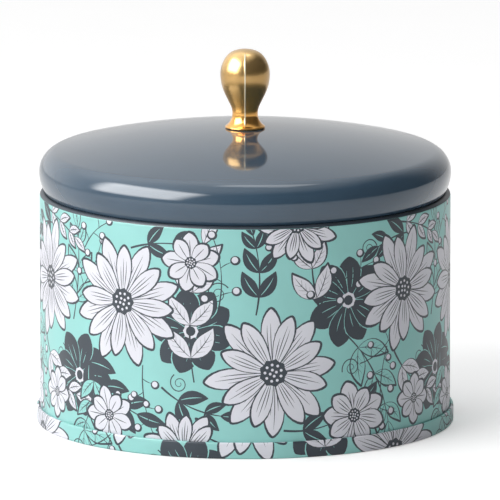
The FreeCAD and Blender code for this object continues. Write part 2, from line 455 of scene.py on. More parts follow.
@dataclass
class FloralSheet:
    """The tin's print, drawn flat: daisies, leaf sprigs, berries and tendrils.

    One repeat is drawn in millimetres, x to the right and y above the table, as closed
    outlines laid over each other in the order in which they were drawn. Strokes are
    shares of the pen's width.
    """

    repeat: float
    pen: float = 0.36
    seed: int = 7
    veined_radius: float = 9.0
    dark_cut: PetalCut = PetalCut(1.0, 0.42, 0.06, 0.25, 1.45, 0.66)
    long_cut: PetalCut = PetalCut(1.0, 0.39, 0.05, 0.22, 1.55, 0.62)
    short_cut: PetalCut = PetalCut(0.86, 0.36, 0.05, 0.22, 1.55, 0.62)
    dark_blooms: tuple[Bloom, ...] = (
        Bloom((39, 37), 13.0, 9, 0.4), Bloom((86, 45), 13.5, 9, 0.1), Bloom((125, 20), 13.0, 9, 0.7))
    sprigs: tuple[Sprig, ...] = (
        Sprig((40, 22), 100, 42, -0.5, 4, 12.5, Leafing.FILLED),
        Sprig((0, 30), -60, 30, 0.7, 3, 12.0, Leafing.SOLID),
        Sprig((78, 40), 112, 30, -0.6, 3, 12.0, Leafing.FILLED),
        Sprig((84, 36), -40, 34, -0.7, 3, 12.5, Leafing.OPEN),
        Sprig((20, 60), 20, 19, -0.5, 2, 9.5, Leafing.SOLID),
        Sprig((112, 62), 172, 16, 0.6, 2, 9.0, Leafing.SOLID),
        Sprig((66, 8), -8, 26, 0.8, 3, 10.5, Leafing.SOLID),
        Sprig((103, 28), -60, 26, 0.9, 3, 10.0, Leafing.FILLED),
        Sprig((58, 42), 78, 24, 0.5, 3, 9.5, Leafing.SOLID),
        Sprig((6, 24), -88, 22, -0.6, 3, 9.0, Leafing.OPEN),
        Sprig((30, 20), -40, 20, 0.6, 2, 10.0, Leafing.SOLID),
        Sprig((122, 36), 74, 28, 0.4, 3, 10.5, Leafing.OPEN),
        Sprig((104, 66), -6, 20, -0.4, 3, 8.0, Leafing.FILLED),
        Sprig((48, 4), 150, 14, 0.5, 2, 8.0, Leafing.OPEN))
    berry_stems: tuple[BerryStem, ...] = (
        BerryStem((46, 40), 70, 24, 0.7, 6, 1.45), BerryStem((24, 26), -95, 24, 0.6, 6, 1.35),
        BerryStem((100, 30), -110, 22, 0.5, 6, 1.35), BerryStem((74, 40), 60, 26, -0.8, 6, 1.35),
        BerryStem((2, 58), 60, 12, -0.6, 4, 1.3), BerryStem((124, 44), 40, 20, 0.6, 5, 1.3),
        BerryStem((90, 26), 10, 16, 0.8, 4, 1.2), BerryStem((10, 14), -20, 14, 0.7, 4, 1.2),
        BerryStem((60, 56), 30, 14, 0.5, 4, 1.2))
    tendrils: tuple[Tendril, ...] = (
        Tendril((50, 50), 30, 3.6, 1), Tendril((84, 24), 200, 3.2, -1), Tendril((116, 28), 70, 3.2, -1),
        Tendril((34, 24), 120, 3.0, 1), Tendril((96, 60), 10, 3.0, 1), Tendril((4, 8), 250, 3.0, -1))
    blooms: tuple[Bloom, ...] = (
        Bloom((37, 1), 13.0, 14, 0.2), Bloom((70, 68), 12.0, 14, 0.5), Bloom((17, 44), 19.0, 16, 0.3),
        Bloom((63, 25), 19.5, 16, 0.1), Bloom((107, 46), 18.0, 16, 0.5), Bloom((39, 57), 9.0, 9, 0.2),
        Bloom((88, 11), 10.5, 9, 0.4), Bloom((12, 10), 8.6, 9, 0.4), Bloom((112, 13), 7.6, 8, 0.0))
    shapes: list[tuple[np.ndarray, Ink]] = field(default_factory=list)

    def __post_init__(self) -> None:
        """Draw one repeat: dark daisies and stems first, so that the pale daisies lie over them."""
        self.random = np.random.default_rng(self.seed)
        for draw, things in ((self.dark_daisy, self.dark_blooms), (self.sprig, self.sprigs),
                             (self.berries, self.berry_stems), (self.tendril, self.tendrils),
                             (self.daisy, self.blooms)):
            for thing in things:
                draw(thing)

    def lay(self, points: np.ndarray, place: Pair, turn: float, ink: Ink) -> None:
        """Add an outline to the sheet.

        Args:
            points: rows of x and y about the outline's own foot.
            place: where the foot goes.
            turn: turn about the foot, radians.
            ink: what fills the outline.
        """
        cosine, sine = math.cos(turn), math.sin(turn)
        self.shapes.append((points @ np.array([[cosine, sine], [-sine, cosine]]) + np.asarray(place), ink))

    def either(self) -> float:
        """A number drawn evenly between minus one and one."""
        return self.random.uniform(-1.0, 1.0)

    def vary(self, share: float) -> float:
        """A factor drawn evenly within a share of one."""
        return 1.0 + share * self.either()

    def disc(self, place: Pair, radius: float, ink: Ink, steps: int,
             ripple: float = 0.0, lobes: int = 1) -> None:
        """Add a round spot whose radius ripples with the angle.

        Args:
            place: its middle.
            radius: its mean radius, mm.
            ink: what fills it.
            steps: points of the outline.
            ripple: share of the radius that the ripple adds.
            lobes: ripples around it.
        """
        angle = np.linspace(0.0, 2.0 * np.pi, steps, endpoint=False)
        reach = radius * (1.0 + ripple * np.cos(lobes * angle))
        self.lay(np.stack([reach * np.cos(angle), reach * np.sin(angle)], axis=-1), place, 0.0, ink)

    def petal_form(self, bloom: Bloom, number: int, cut: PetalCut) -> tuple[Blade, float]:
        """Form and heading of one petal, a little uneven.

        Args:
            bloom: the daisy.
            number: number of the petal round it.
            cut: how it is cut.

        Returns:
            The petal's form, and its heading in radians.
        """
        step = 2.0 * math.pi / bloom.petals
        form = Blade(bloom.radius * cut.reach * self.vary(cut.uneven), cut.breadth * step * bloom.radius,
                     cut.curl * self.either(), cut.swell, cut.fullness)
        return form, bloom.turn + step * (number + cut.sway * self.either())

    def dark_daisy(self, bloom: Bloom) -> None:
        """Add a daisy in silhouette: dark petals parted by the ground's colour.

        Args:
            bloom: the daisy.
        """
        for number in range(bloom.petals):
            blade, heading = self.petal_form(bloom, number, self.dark_cut)
            self.lay(blade.edge(0.5 * self.pen, 0.5 * self.pen), bloom.place, heading, Ink.GROUND)
            self.lay(blade.edge(-0.2 * self.pen, -0.2 * self.pen), bloom.place, heading, Ink.LINE)
            for share in (-0.3, 0.25):
                vein = blade.vein(share, start=0.30, stop=0.66 * self.vary(0.12), weight=0.26 * self.pen)
                self.lay(vein, bloom.place, heading, Ink.GROUND)
        self.disc(bloom.place, 0.17 * bloom.radius, Ink.PETAL, steps=16, ripple=0.06, lobes=8)
        self.disc(bloom.place, 0.11 * bloom.radius, Ink.LINE, steps=12)

    def petal(self, blade: Blade, turn: float, place: Pair, veins: tuple[float, ...]) -> None:
        """Add a petal: a dark outline, a pale inside and fine veins.

        Args:
            blade: the petal's form.
            turn: its heading, radians.
            place: its foot.
            veins: shares of the half width that the veins follow.
        """
        self.lay(blade.edge(0.35 * self.pen, 0.75 * self.pen), place, turn, Ink.LINE)
        self.lay(blade.edge(-0.45 * self.pen, -0.45 * self.pen), place, turn, Ink.PETAL)
        for share in veins:
            stop = 0.80 * self.vary(0.14) * (1.0 - 0.35 * abs(share))
            self.lay(blade.vein(share, start=0.22, stop=stop, weight=0.30 * self.pen), place, turn, Ink.LINE)

    def daisy(self, bloom: Bloom) -> None:
        """Add a daisy: a layer of long petals, a layer of short ones between and a dotted eye.

        Args:
            bloom: the daisy.
        """
        veins = (-0.34, 0.05, 0.40) if bloom.radius > self.veined_radius else (0.0,)
        for first, cut in enumerate((self.long_cut, self.short_cut)):
            for number in range(first, bloom.petals, 2):
                self.petal(*self.petal_form(bloom, number, cut), bloom.place, veins)
        x, y = bloom.place
        eye = 0.20 * bloom.radius
        self.disc(bloom.place, eye, Ink.LINE, steps=18, ripple=0.07, lobes=9)
        for ring, count in ((0.62, 9), (0.24, 4)):
            for number in range(count):
                angle = bloom.turn + 2.0 * math.pi * (number + 0.5 * ring) / count
                spot = (x + eye * ring * math.cos(angle), y + eye * ring * math.sin(angle))
                self.disc(spot, 0.095 * eye + 0.08, Ink.PETAL, steps=6)

    def leaf(self, place: Pair, turn: float, blade: Blade, leafing: Leafing) -> None:
        """Add a leaf with its veins.

        Args:
            place: its foot.
            turn: its heading, radians.
            blade: its form.
            leafing: how it is drawn.
        """
        vein = 0.34 * self.pen
        if leafing is Leafing.SOLID:
            self.lay(blade.edge(0.1, 0.1), place, turn, Ink.LINE)
            self.lay(blade.vein(0.0, start=0.10, stop=0.80, weight=vein), place, turn, Ink.GROUND)
            return
        within = Ink.PETAL if leafing is Leafing.FILLED else Ink.GROUND
        self.lay(blade.edge(0.3 * self.pen, 0.8 * self.pen), place, turn, Ink.LINE)
        self.lay(blade.edge(-0.4 * self.pen, -0.4 * self.pen), place, turn, within)
        self.lay(blade.vein(0.0, start=0.02, stop=0.86, weight=vein, steps=8), place, turn, Ink.LINE)
        for start in (0.20, 0.37, 0.54):
            for side in (-1.0, 1.0):
                self.lay(blade.side_vein(start, side, 0.2 * self.pen), place, turn, Ink.LINE)

    def stem(self, place: Pair, turn: float, length: float, curl: float, weight: float) -> Blade:
        """Add a stem on an arc, thinner towards its end and a little uneven.

        Args:
            place: its foot.
            turn: its heading, radians.
            length: its length, mm.
            curl: turn along it, radians.
            weight: half thickness at the foot, mm.

        Returns:
            The stem's centre line.
        """
        middle = Blade(length, 1.0, curl)
        along = np.linspace(0.0, 1.0, max(6, int(length / 1.6)))
        pen = weight * (1.0 - 0.45 * along) * (1.0 + 0.22 * np.sin(9.0 * along + length))
        self.lay(np.concatenate([middle.at(along, pen), middle.at(along, -pen)[::-1]]), place, turn, Ink.LINE)
        return middle

    def along_stem(self, middle: Blade, place: Pair, turn: float, share: float) -> tuple[Pair, float]:
        """Place and heading at a share of a stem.

        Args:
            middle: the stem's centre line.
            place: its foot.
            turn: its heading at the foot, radians.
            share: share of its length.

        Returns:
            The place on the sheet, and the heading there in radians.
        """
        x, y = middle.at(np.array([share]), np.array([0.0]))[0]
        cosine, sine = math.cos(turn), math.sin(turn)
        there = (place[0] + cosine * x - sine * y, place[1] + sine * x + cosine * y)
        return there, turn + middle.curl * share

    def sprig(self, sprig: Sprig) -> None:
        """Add a stem with pairs of leaves that shrink towards its tip.

        Args:
            sprig: the stem and its leaves.
        """
        turn = math.radians(sprig.heading)
        middle = self.stem(sprig.foot, turn, sprig.length, sprig.curl, 0.75 * self.pen)
        for number in range(sprig.pairs):
            share = (number + 0.75) / (sprig.pairs + 0.35)
            foot, heading = self.along_stem(middle, sprig.foot, turn, share)
            size = sprig.leaf * (1.0 - 0.38 * share) * self.vary(0.1)
            for side in (-1.0, 1.0):
                lean = heading + side * (0.85 + 0.12 * self.either())
                form = Blade(size, 0.23 * size, -0.5 * side, swell=0.88, fullness=0.95)
                self.leaf(foot, lean, form, sprig.leafing)
        foot, heading = self.along_stem(middle, sprig.foot, turn, 0.98)
        tip = Blade(0.8 * sprig.leaf, 0.17 * sprig.leaf, math.copysign(0.25, sprig.curl),
                    swell=0.88, fullness=0.95)
        self.leaf(foot, heading, tip, sprig.leafing)

    def berries(self, stem: BerryStem) -> None:
        """Add a stem with berries on short stalks to either side, and one at its tip.

        Args:
            stem: the stem and its berries.
        """
        turn, size = math.radians(stem.heading), stem.size
        middle = self.stem(stem.foot, turn, stem.length, stem.curl, 0.55 * self.pen)
        for number in range(stem.berries):
            foot, heading = self.along_stem(middle, stem.foot, turn, (number + 1.0) / stem.berries)
            side = 0.0 if number == stem.berries - 1 else (-1.0) ** number
            reach = size * (2.6 if side else 0.6)
            lean = heading + 0.95 * side
            self.stem(foot, lean, reach, 0.5 * side, 0.4 * self.pen)
            far, bearing = reach + 0.7 * size, lean + 0.25 * side
            x, y = foot[0] + far * math.cos(bearing), foot[1] + far * math.sin(bearing)
            self.disc((x, y), size, Ink.LINE, steps=14, ripple=0.05, lobes=2)
            self.disc((x - 0.10 * size, y + 0.12 * size), 0.66 * size, Ink.PETAL, steps=12)

    def tendril(self, tendril: Tendril) -> None:
        """Add a curling tendril: a spiral whose radius shrinks steadily to its tip.

        Args:
            tendril: its place, size and hand.
        """
        along = np.linspace(0.0, 1.0, 34)
        spin = tendril.hand * 3.6 * np.pi * along ** 1.25
        reach = tendril.size * (1.0 - 0.86 * along)
        path = np.stack([reach * np.cos(spin) - tendril.size, reach * np.sin(spin)], axis=-1)
        slope = np.gradient(path, axis=0)
        normal = np.stack([-slope[:, 1], slope[:, 0]], axis=-1) / np.linalg.norm(slope, axis=1)[:, None]
        pen = self.pen * (0.5 - 0.28 * along)[:, None]
        stroke = np.concatenate([path + pen * normal, (path - pen * normal)[::-1]])
        self.lay(stroke, tendril.foot, math.radians(tendril.heading), Ink.LINE)


def clipped(outline: np.ndarray, axis: int, limit: float, sign: float) -> np.ndarray:
    """Part of a closed outline on one side of a line across the sheet.

    Each corner inside is kept, and each edge that crosses adds the point where it does.

    Args:
        outline: rows of x and y.
        axis: 0 to limit x, 1 to limit y.
        limit: the limit, mm.
        sign: 1 to keep what is below the limit, -1 to keep what is above.

    Returns:
        The outline that is left, which may be empty.
    """
    if len(outline) == 0:
        return outline
    beyond = sign * (outline[:, axis] - limit)
    following = np.roll(beyond, -1)
    crossing = (beyond > 0.0) != (following > 0.0)
    share = np.where(crossing, beyond / np.where(crossing, beyond - following, 1.0), 0.0)
    cut = outline + share[:, None] * (np.roll(outline, -1, axis=0) - outline)
    return np.stack([outline, cut], axis=1)[np.stack([beyond <= 0.0, crossing], axis=1)]


def inside(outline: np.ndarray, spots: np.ndarray) -> np.ndarray:
    """Whether spots lie in an outline: a line to the right crosses its edges an odd number of times.

    Args:
        outline: rows of x and y.
        spots: rows of x and y.

    Returns:
        One truth value a spot.
    """
    start, stop = outline[:, None], np.roll(outline, -1, axis=0)[:, None]
    x, y = spots[:, 0], spots[:, 1]
    spans = (start[..., 1] > y) != (stop[..., 1] > y)
    rise = np.where(spans, stop[..., 1] - start[..., 1], 1.0)
    meets = start[..., 0] + (y - start[..., 1]) / rise * (stop[..., 0] - start[..., 0])
    return (np.sum(spans & (x < meets), axis=0) % 2).astype(bool)


def triangulated(points: np.ndarray, edges: np.ndarray) -> tuple[np.ndarray, np.ndarray]:
    """Triangles over flat points, none of which crosses a given edge.

    Args:
        points: rows of x and y.
        edges: pairs of point numbers.

    Returns:
        Corner places, with one more wherever edges cross, and corner numbers of each triangle.
    """
    made = delaunay_2d_cdt([Vector(row) for row in points.tolist()], edges.tolist(), [], 0, SNAP, False)
    return np.array(made[0]), np.array(made[2])


class PrintPlace(NamedTuple):
    """Height on the print where a sheet begins, and how far the print is slid round it, mm."""

    drop: float
    slide: float


@dataclass
class PrintedSkin:
    """A printed sheet wrapped round the axis: triangles that follow the edges of the inks.

    The flat sheet has x around the tin, from the side seam at the back, and y along the
    section's line. A point (x, y) goes to the bearing x / radius and to the line's point
    at length y. The outlines are first cut into each other as drawn. Only the lines where
    the ink changes then stay in the mesh.
    """

    line: np.ndarray
    sheet: FloralSheet
    radius: float
    place: PrintPlace
    margin: float
    chart_box: Box
    chart_columns: int = 2
    chart_rows: int = 2
    edge: float = 0.05

    def outlines(self, width: float, height: float) -> list[tuple[np.ndarray, Ink]]:
        """The print's outlines on this sheet, cut off at its margins.

        Args:
            width: sheet's width around the tin, mm.
            height: sheet's height along the line, mm.

        Returns:
            Outlines and their inks, in drawing order.
        """
        kept = []
        drop, slide = self.place
        repeats = int(round(width / self.sheet.repeat))
        for outline, ink in self.sheet.shapes:
            for number in range(-1, repeats + 1):
                moved = outline + np.array([number * self.sheet.repeat + slide, -drop])
                if moved[:, 1].max() < 0.0 or moved[:, 1].min() > height:
                    continue
                for axis, limit, sign in ((0, width - self.margin, 1.0), (0, self.margin, -1.0),
                                          (1, height - self.edge, 1.0), (1, self.edge, -1.0)):
                    moved = clipped(moved, axis, limit, sign)
                if len(moved) > 2:
                    kept.append((moved, ink))
        return kept

    def drawing(self, width: float, height: float,
                outlines: list[tuple[np.ndarray, Ink]]) -> tuple[np.ndarray, np.ndarray]:
        """All the drawn lines of the sheet: its frame, the seam's margins and the outlines.

        Args:
            width: sheet's width, mm.
            height: sheet's height, mm.
            outlines: outlines to draw.

        Returns:
            Points, and pairs of point numbers.
        """
        rim = np.array([[0.0, 0.0], [width, 0.0], [width, height], [0.0, height]])
        left = np.array([[self.margin, self.edge], [self.margin, height - self.edge]])
        right = np.array([width, 0.0]) + left * np.array([-1.0, 1.0])
        points, edges, start = [], [], 0
        for loop in [rim, left, right] + [outline for outline, _ in outlines]:
            turn = start + np.arange(len(loop))
            edges.append(np.stack([turn, np.roll(turn, -1)], axis=1))
            points.append(loop)
            start += len(loop)
        return np.concatenate(points), np.concatenate(edges)

    def grid(self, width: float, heights: np.ndarray) -> tuple[np.ndarray, np.ndarray]:
        """The sheet's grid, with lines along its frame, its chart's cuts and the rows where it bends.

        Args:
            width: sheet's width, mm.
            heights: heights of the rows, mm.

        Returns:
            Points, and pairs of point numbers.
        """
        around = np.linspace(0.0, width, COLUMNS + 1)
        points = np.stack(np.meshgrid(around, heights), axis=-1).reshape(-1, 2)
        number = np.arange(len(points)).reshape(len(heights), COLUMNS + 1)
        slope = np.arctan2(*np.diff(self.line, axis=0).T)
        bends = np.concatenate([[True], np.abs(np.diff(slope)) > BEND, [True]])
        cuts = [COLUMNS * k // self.charts for k in range(self.charts + 1)]
        rows, uprights = number[bends], number[:, cuts]
        edges = [np.stack([rows[:, :-1].ravel(), rows[:, 1:].ravel()], axis=1),
                 np.stack([uprights[:-1].ravel(), uprights[1:].ravel()], axis=1)]
        return points, np.concatenate(edges)

    def borders(self, corners: np.ndarray, ink_of: np.ndarray) -> np.ndarray:
        """Edges between triangles of different inks.

        Args:
            corners: corner numbers of the triangles.
            ink_of: ink of each triangle.

        Returns:
            Pairs of corner numbers.
        """
        edges = np.sort(np.concatenate([corners[:, pair] for pair in ([0, 1], [1, 2], [2, 0])]), axis=1)
        ink = np.tile(ink_of, 3)
        order = np.lexsort(edges.T)
        edges, ink = edges[order], ink[order]
        shared = np.all(edges[1:] == edges[:-1], axis=1) & (ink[1:] != ink[:-1])
        return edges[1:][shared]

    @property
    def charts(self) -> int:
        """Number of strips that the sheet is cut into on its chart."""
        return self.chart_columns * self.chart_rows

    def inks(self, spots: np.ndarray, width: float, outlines: list[tuple[np.ndarray, Ink]]) -> np.ndarray:
        """The uppermost ink at each spot.

        Args:
            spots: places on the sheet.
            width: sheet's width, mm.
            outlines: outlines in drawing order.

        Returns:
            One ink number a spot.
        """
        ink_of = np.full(len(spots), int(Ink.GROUND))
        order = np.argsort(spots[:, 0])
        sorted_x = spots[order, 0]
        for outline, ink in outlines:
            first, last = np.searchsorted(sorted_x, [outline[:, 0].min(), outline[:, 0].max()])
            near = order[first:last]
            near = near[(spots[near, 1] > outline[:, 1].min()) & (spots[near, 1] < outline[:, 1].max())]
            ink_of[near[inside(outline, spots[near])]] = int(ink)
        ink_of[(spots[:, 0] < self.margin) | (spots[:, 0] > width - self.margin)] = int(Ink.MARGIN)
        return ink_of

    def chart(self, places: np.ndarray, middle: np.ndarray, width: float, height: float) -> np.ndarray:
        """Places on the chart: the sheet cut into strips that are stacked in a box.

        Args:
            places: corner places on the sheet, by triangle and corner.
            middle: middles of the triangles.
            width: sheet's width, mm.
            height: sheet's height, mm.

        Returns:
            Chart places, by triangle and corner.
        """
        strip = np.clip((middle[:, 0] * self.charts / width).astype(int), 0, self.charts - 1)
        left, low, right, high = self.chart_box
        cell = np.array([(right - left) / self.chart_columns, (high - low) / self.chart_rows])
        share = places / np.array([width / self.charts, height])
        share[..., 0] -= strip[:, None]
        corner = np.stack([left + cell[0] * (strip % self.chart_columns),
                           low + cell[1] * (strip // self.chart_columns)], axis=-1) + GUTTER
        return corner[:, None] + share * (cell - 2.0 * GUTTER)

    def patch(self) -> Patch:
        """The wrapped sheet.

        Returns:
            A patch whose material numbers are the inks.
        """
        width = 2.0 * math.pi * self.radius
        heights = lengths_along(self.line)
        outlines = self.outlines(width, heights[-1])
        drawn, corners = triangulated(*self.drawing(width, heights[-1], outlines))
        ink_of = self.inks(drawn[corners].mean(axis=1), width, outlines)
        kept, borders = np.unique(self.borders(corners, ink_of), return_inverse=True)
        points, edges = self.grid(width, heights)
        edges = np.concatenate([edges, borders.reshape(-1, 2) + len(points)])
        places, corners = triangulated(np.concatenate([points, drawn[kept]]), edges)
        middle = places[corners].mean(axis=1)
        bearing = BACK + 2.0 * np.pi * places[:, 0] / width
        radius = np.interp(places[:, 1], heights, self.line[:, 0])
        height = np.interp(places[:, 1], heights, self.line[:, 1])
        points = np.stack([radius * np.cos(bearing), radius * np.sin(bearing), height], axis=-1)
        return Patch(points, corners, self.inks(middle, width, outlines),
                     self.chart(places[corners], middle, width, heights[-1]))


def strip_chart(patch: Patch, box: Box, rows: int) -> Patch:
    """Give a turned patch a chart: its grid laid out as one strip in a box.

    Args:
        patch: the turned patch, whose points are columns of rows.
        box: left, low, right and high edge of the strip.
        rows: points in a column.

    Returns:
        The same patch, with its chart.
    """
    column, row = np.divmod(patch.faces, rows)
    columns = len(patch.points) // rows
    column = np.where((column == 0) & (column.max(axis=1, keepdims=True) == columns - 1), columns, column)
    left, low, right, high = box
    patch.chart = np.stack([left + (right - left) * column / columns,
                            low + (high - low) * row / (rows - 1)], axis=-1)
    return patch


class Wiring:
    """A node tree in the making, with short ways to add nodes and join them."""

    def __init__(self, tree: bpy.types.NodeTree) -> None:
        """Work on a tree."""
        self.tree = tree

    def node(self, kind: str, **settings: object) -> bpy.types.Node:
        """Add a node.

        Args:
            kind: Blender's name for the node.
            settings: properties to set on it.

        Returns:
            The node.
        """
        made = self.tree.nodes.new(kind)
        for key, value in settings.items():
            setattr(made, key, value)
        return made

    def join(self, source: Socket, target: Socket) -> None:
        """Link one socket to another."""
        self.tree.links.new(source, target)

    def spread(self, factor: Socket, low: float, high: float,
               start: float = 0.3, stop: float = 0.7) -> Socket:
        """A factor mapped smoothly to a range.

        Args:
            factor: the factor socket.
            low: value at the start.
            high: value at the stop.
            start: factor where the range begins.
            stop: factor where it ends.

        Returns:
            The value socket.
        """
        made = self.node("ShaderNodeMapRange", interpolation_type="SMOOTHSTEP")
        for key, value in (("From Min", start), ("From Max", stop), ("To Min", low), ("To Max", high)):
            made.inputs[key].default_value = value
        self.join(factor, made.inputs["Value"])
        return made.outputs["Result"]

    def combined(self, kind: str, first: Socket, second: Socket) -> Socket:
        """Combine two values.

        Args:
            kind: the math node's operation.
            first: first value.
            second: second value.

        Returns:
            The value socket.
        """
        made = self.node("ShaderNodeMath", operation=kind)
        self.join(first, made.inputs[0])
        self.join(second, made.inputs[1])
        return made.outputs["Value"]


class Recipe(Wiring):
    """A material in the making: a shader, and what drives its sockets."""

    def __init__(self, name: str) -> None:
        """Start an empty material with a shader and its output.

        Args:
            name: name of the material.
        """
        self.material = bpy.data.materials.new(name)
        self.material.use_nodes = True
        super().__init__(self.material.node_tree)
        self.tree.nodes.clear()
        self.shader = self.node("ShaderNodeBsdfPrincipled")
        output = self.node("ShaderNodeOutputMaterial")
        self.join(self.shader.outputs["BSDF"], output.inputs["Surface"])
        self.place = self.node("ShaderNodeTexCoord").outputs["Object"]

    def set(self, **values: object) -> None:
        """Set the shader's own sockets, named with underscores for spaces."""
        for key, value in values.items():
            self.shader.inputs[key.replace("_", " ")].default_value = value

    def drive(self, **sources: Socket) -> None:
        """Link sockets to the shader's own, named with underscores for spaces."""
        for key, source in sources.items():
            self.join(source, self.shader.inputs[key.replace("_", " ")])

    def stretched(self, scale: Triple) -> Socket:
        """Object coordinates, stretched.

        Args:
            scale: factor along each axis.

        Returns:
            The vector socket.
        """
        mapping = self.node("ShaderNodeMapping")
        mapping.inputs["Scale"].default_value = scale
        self.join(self.place, mapping.inputs["Vector"])
        return mapping.outputs["Vector"]

    def noise(self, size: float, detail: float = 2.0, rough: float = 0.5,
              place: Optional[Socket] = None) -> Socket:
        """Cloudy noise.

        Args:
            size: size of its clouds, mm.
            detail: number of finer octaves.
            rough: strength of the finer octaves.
            place: coordinates, the object's own where none are given.

        Returns:
            The factor socket.
        """
        made = self.node("ShaderNodeTexNoise")
        for key, value in (("Scale", 1.0 / (size * MM)), ("Detail", detail), ("Roughness", rough)):
            made.inputs[key].default_value = value
        self.join(place or self.place, made.inputs["Vector"])
        return made.outputs["Fac"]

    def ramp(self, factor: Socket, first: tuple[float, Colour], second: tuple[float, Colour]) -> Socket:
        """Colours along a factor.

        Args:
            factor: the factor socket.
            first: position of the first stop, with its colour.
            second: position of the second stop, with its colour.

        Returns:
            The colour socket.
        """
        made = self.node("ShaderNodeValToRGB")
        for stop, (position, colour) in zip(made.color_ramp.elements, (first, second)):
            stop.position = position
            stop.color = (*colour, 1.0)
        self.join(factor, made.inputs["Fac"])
        return made.outputs["Color"]

    def mottled(self, factor: Socket, colour: Colour, shades: Pair, stops: Pair = (0.25, 0.75)) -> Socket:
        """A colour that changes its shade along a factor.

        Args:
            factor: the factor socket.
            colour: the colour.
            shades: its factor at each stop.
            stops: positions of the two stops.

        Returns:
            The colour socket.
        """
        return self.ramp(factor, *((stop, tinted(colour, shade)) for stop, shade in zip(stops, shades)))

    def mix(self, factor: Socket, first: Socket, second: Socket) -> Socket:
        """Mix two colours by a factor.

        Args:
            factor: the factor socket.
            first: colour at nothing.
            second: colour at one.

        Returns:
            The colour socket.
        """
        made = self.node("ShaderNodeMix", data_type="RGBA")
        for key, source in (("Factor", factor), ("A", first), ("B", second)):
            self.join(source, made.inputs[key])
        return made.outputs["Result"]

    def attribute(self, name: str) -> Socket:
        """A value kept on the mesh's points."""
        return self.node("ShaderNodeAttribute", attribute_name=name).outputs["Fac"]

    def height(self) -> Socket:
        """Height above the table.

        Returns:
            The value socket, in metres.
        """
        split = self.node("ShaderNodeSeparateXYZ")
        self.join(self.place, split.inputs["Vector"])
        return split.outputs["Z"]

    def bump(self, height: Socket, strength: float, depth: float) -> None:
        """Roughen the shading.

        Args:
            height: the height socket.
            strength: strength of the effect.
            depth: depth that a height of one stands for, mm.
        """
        made = self.node("ShaderNodeBump")
        made.inputs["Strength"].default_value = strength
        made.inputs["Distance"].default_value = depth * MM
        self.join(height, made.inputs["Height"])
        self.drive(Normal=made.outputs["Normal"])


def tinted(colour: Colour, factor: float) -> Colour:
    """A colour made lighter or darker by a factor."""
    return tuple(min(1.0, channel * factor) for channel in colour)


@dataclass(frozen=True)
class PrintingInk:
    """Ink under clear varnish on tin: soft mottling, fine grain and a satin gloss."""

    name: str
    colour: Colour
    mottle: float = 0.03
    gloss: float = 0.44

    def material(self) -> Material:
        """Build the material.

        Returns:
            The finished material.
        """
        recipe = Recipe(self.name)
        grain = recipe.noise(size=0.22, rough=0.6)
        cloud = recipe.noise(size=9.0, detail=3.0, rough=0.55)
        both = recipe.combined("ADD", recipe.spread(grain, 0.0, 0.35), recipe.spread(cloud, 0.0, 0.65))
        shades = (1.0 - self.mottle, 1.0 + self.mottle)
        recipe.drive(Base_Color=recipe.mottled(both, self.colour, shades, stops=(0.0, 1.0)),
                     Roughness=recipe.spread(cloud, self.gloss - 0.04, self.gloss + 0.06))
        recipe.bump(recipe.noise(size=1.6), strength=0.10, depth=0.02)
        recipe.set(IOR=1.5, Specular_IOR_Level=0.3, Coat_Weight=0.5, Coat_Roughness=0.36)
        return recipe.material


@dataclass(frozen=True)
class StovedEnamel:
    """Deep glossy enamel, stoved on: faint orange peel, cloudy tint and fine rubbing marks."""

    name: str
    colour: Colour

    def material(self) -> Material:
        """Build the material.

        Returns:
            The finished material.
        """
        recipe = Recipe(self.name)
        cloud = recipe.noise(size=14.0, detail=3.0)
        rub = recipe.noise(size=5.0, detail=4.0, rough=0.6)
        recipe.drive(Base_Color=recipe.mottled(cloud, self.colour, shades=(0.93, 1.07)),
                     Roughness=recipe.spread(rub, 0.07, 0.11))
        recipe.bump(recipe.noise(size=2.4, detail=1.0), strength=0.04, depth=0.02)
        recipe.set(IOR=1.5, Coat_Weight=0.6, Coat_Roughness=0.02)
        return recipe.material


@dataclass(frozen=True)
class Tinplate:
    """Rolled tinplate under thin lacquer: drawn grain, spangle and a soft shine."""

    name: str
    colour: Colour
    grain: Triple = (1.0, 1.0, 0.06)
    gloss: float = 0.26

    def material(self) -> Material:
        """Build the material.

        Returns:
            The finished material.
        """
        recipe = Recipe(self.name)
        drawn = recipe.noise(size=0.5, detail=4.0, rough=0.65, place=recipe.stretched(self.grain))
        spangle = recipe.spread(recipe.noise(size=6.0), 0.0, 0.5, start=0.0, stop=1.0)
        both = recipe.combined("ADD", recipe.spread(drawn, 0.0, 0.5), spangle)
        recipe.drive(Base_Color=recipe.mottled(both, self.colour, shades=(0.95, 1.03), stops=(0.0, 1.0)),
                     Roughness=recipe.spread(both, self.gloss - 0.03, self.gloss + 0.05, start=0.0, stop=1.0))
        recipe.bump(drawn, strength=0.06, depth=0.01)
        recipe.set(Metallic=1.0)
        return recipe.material


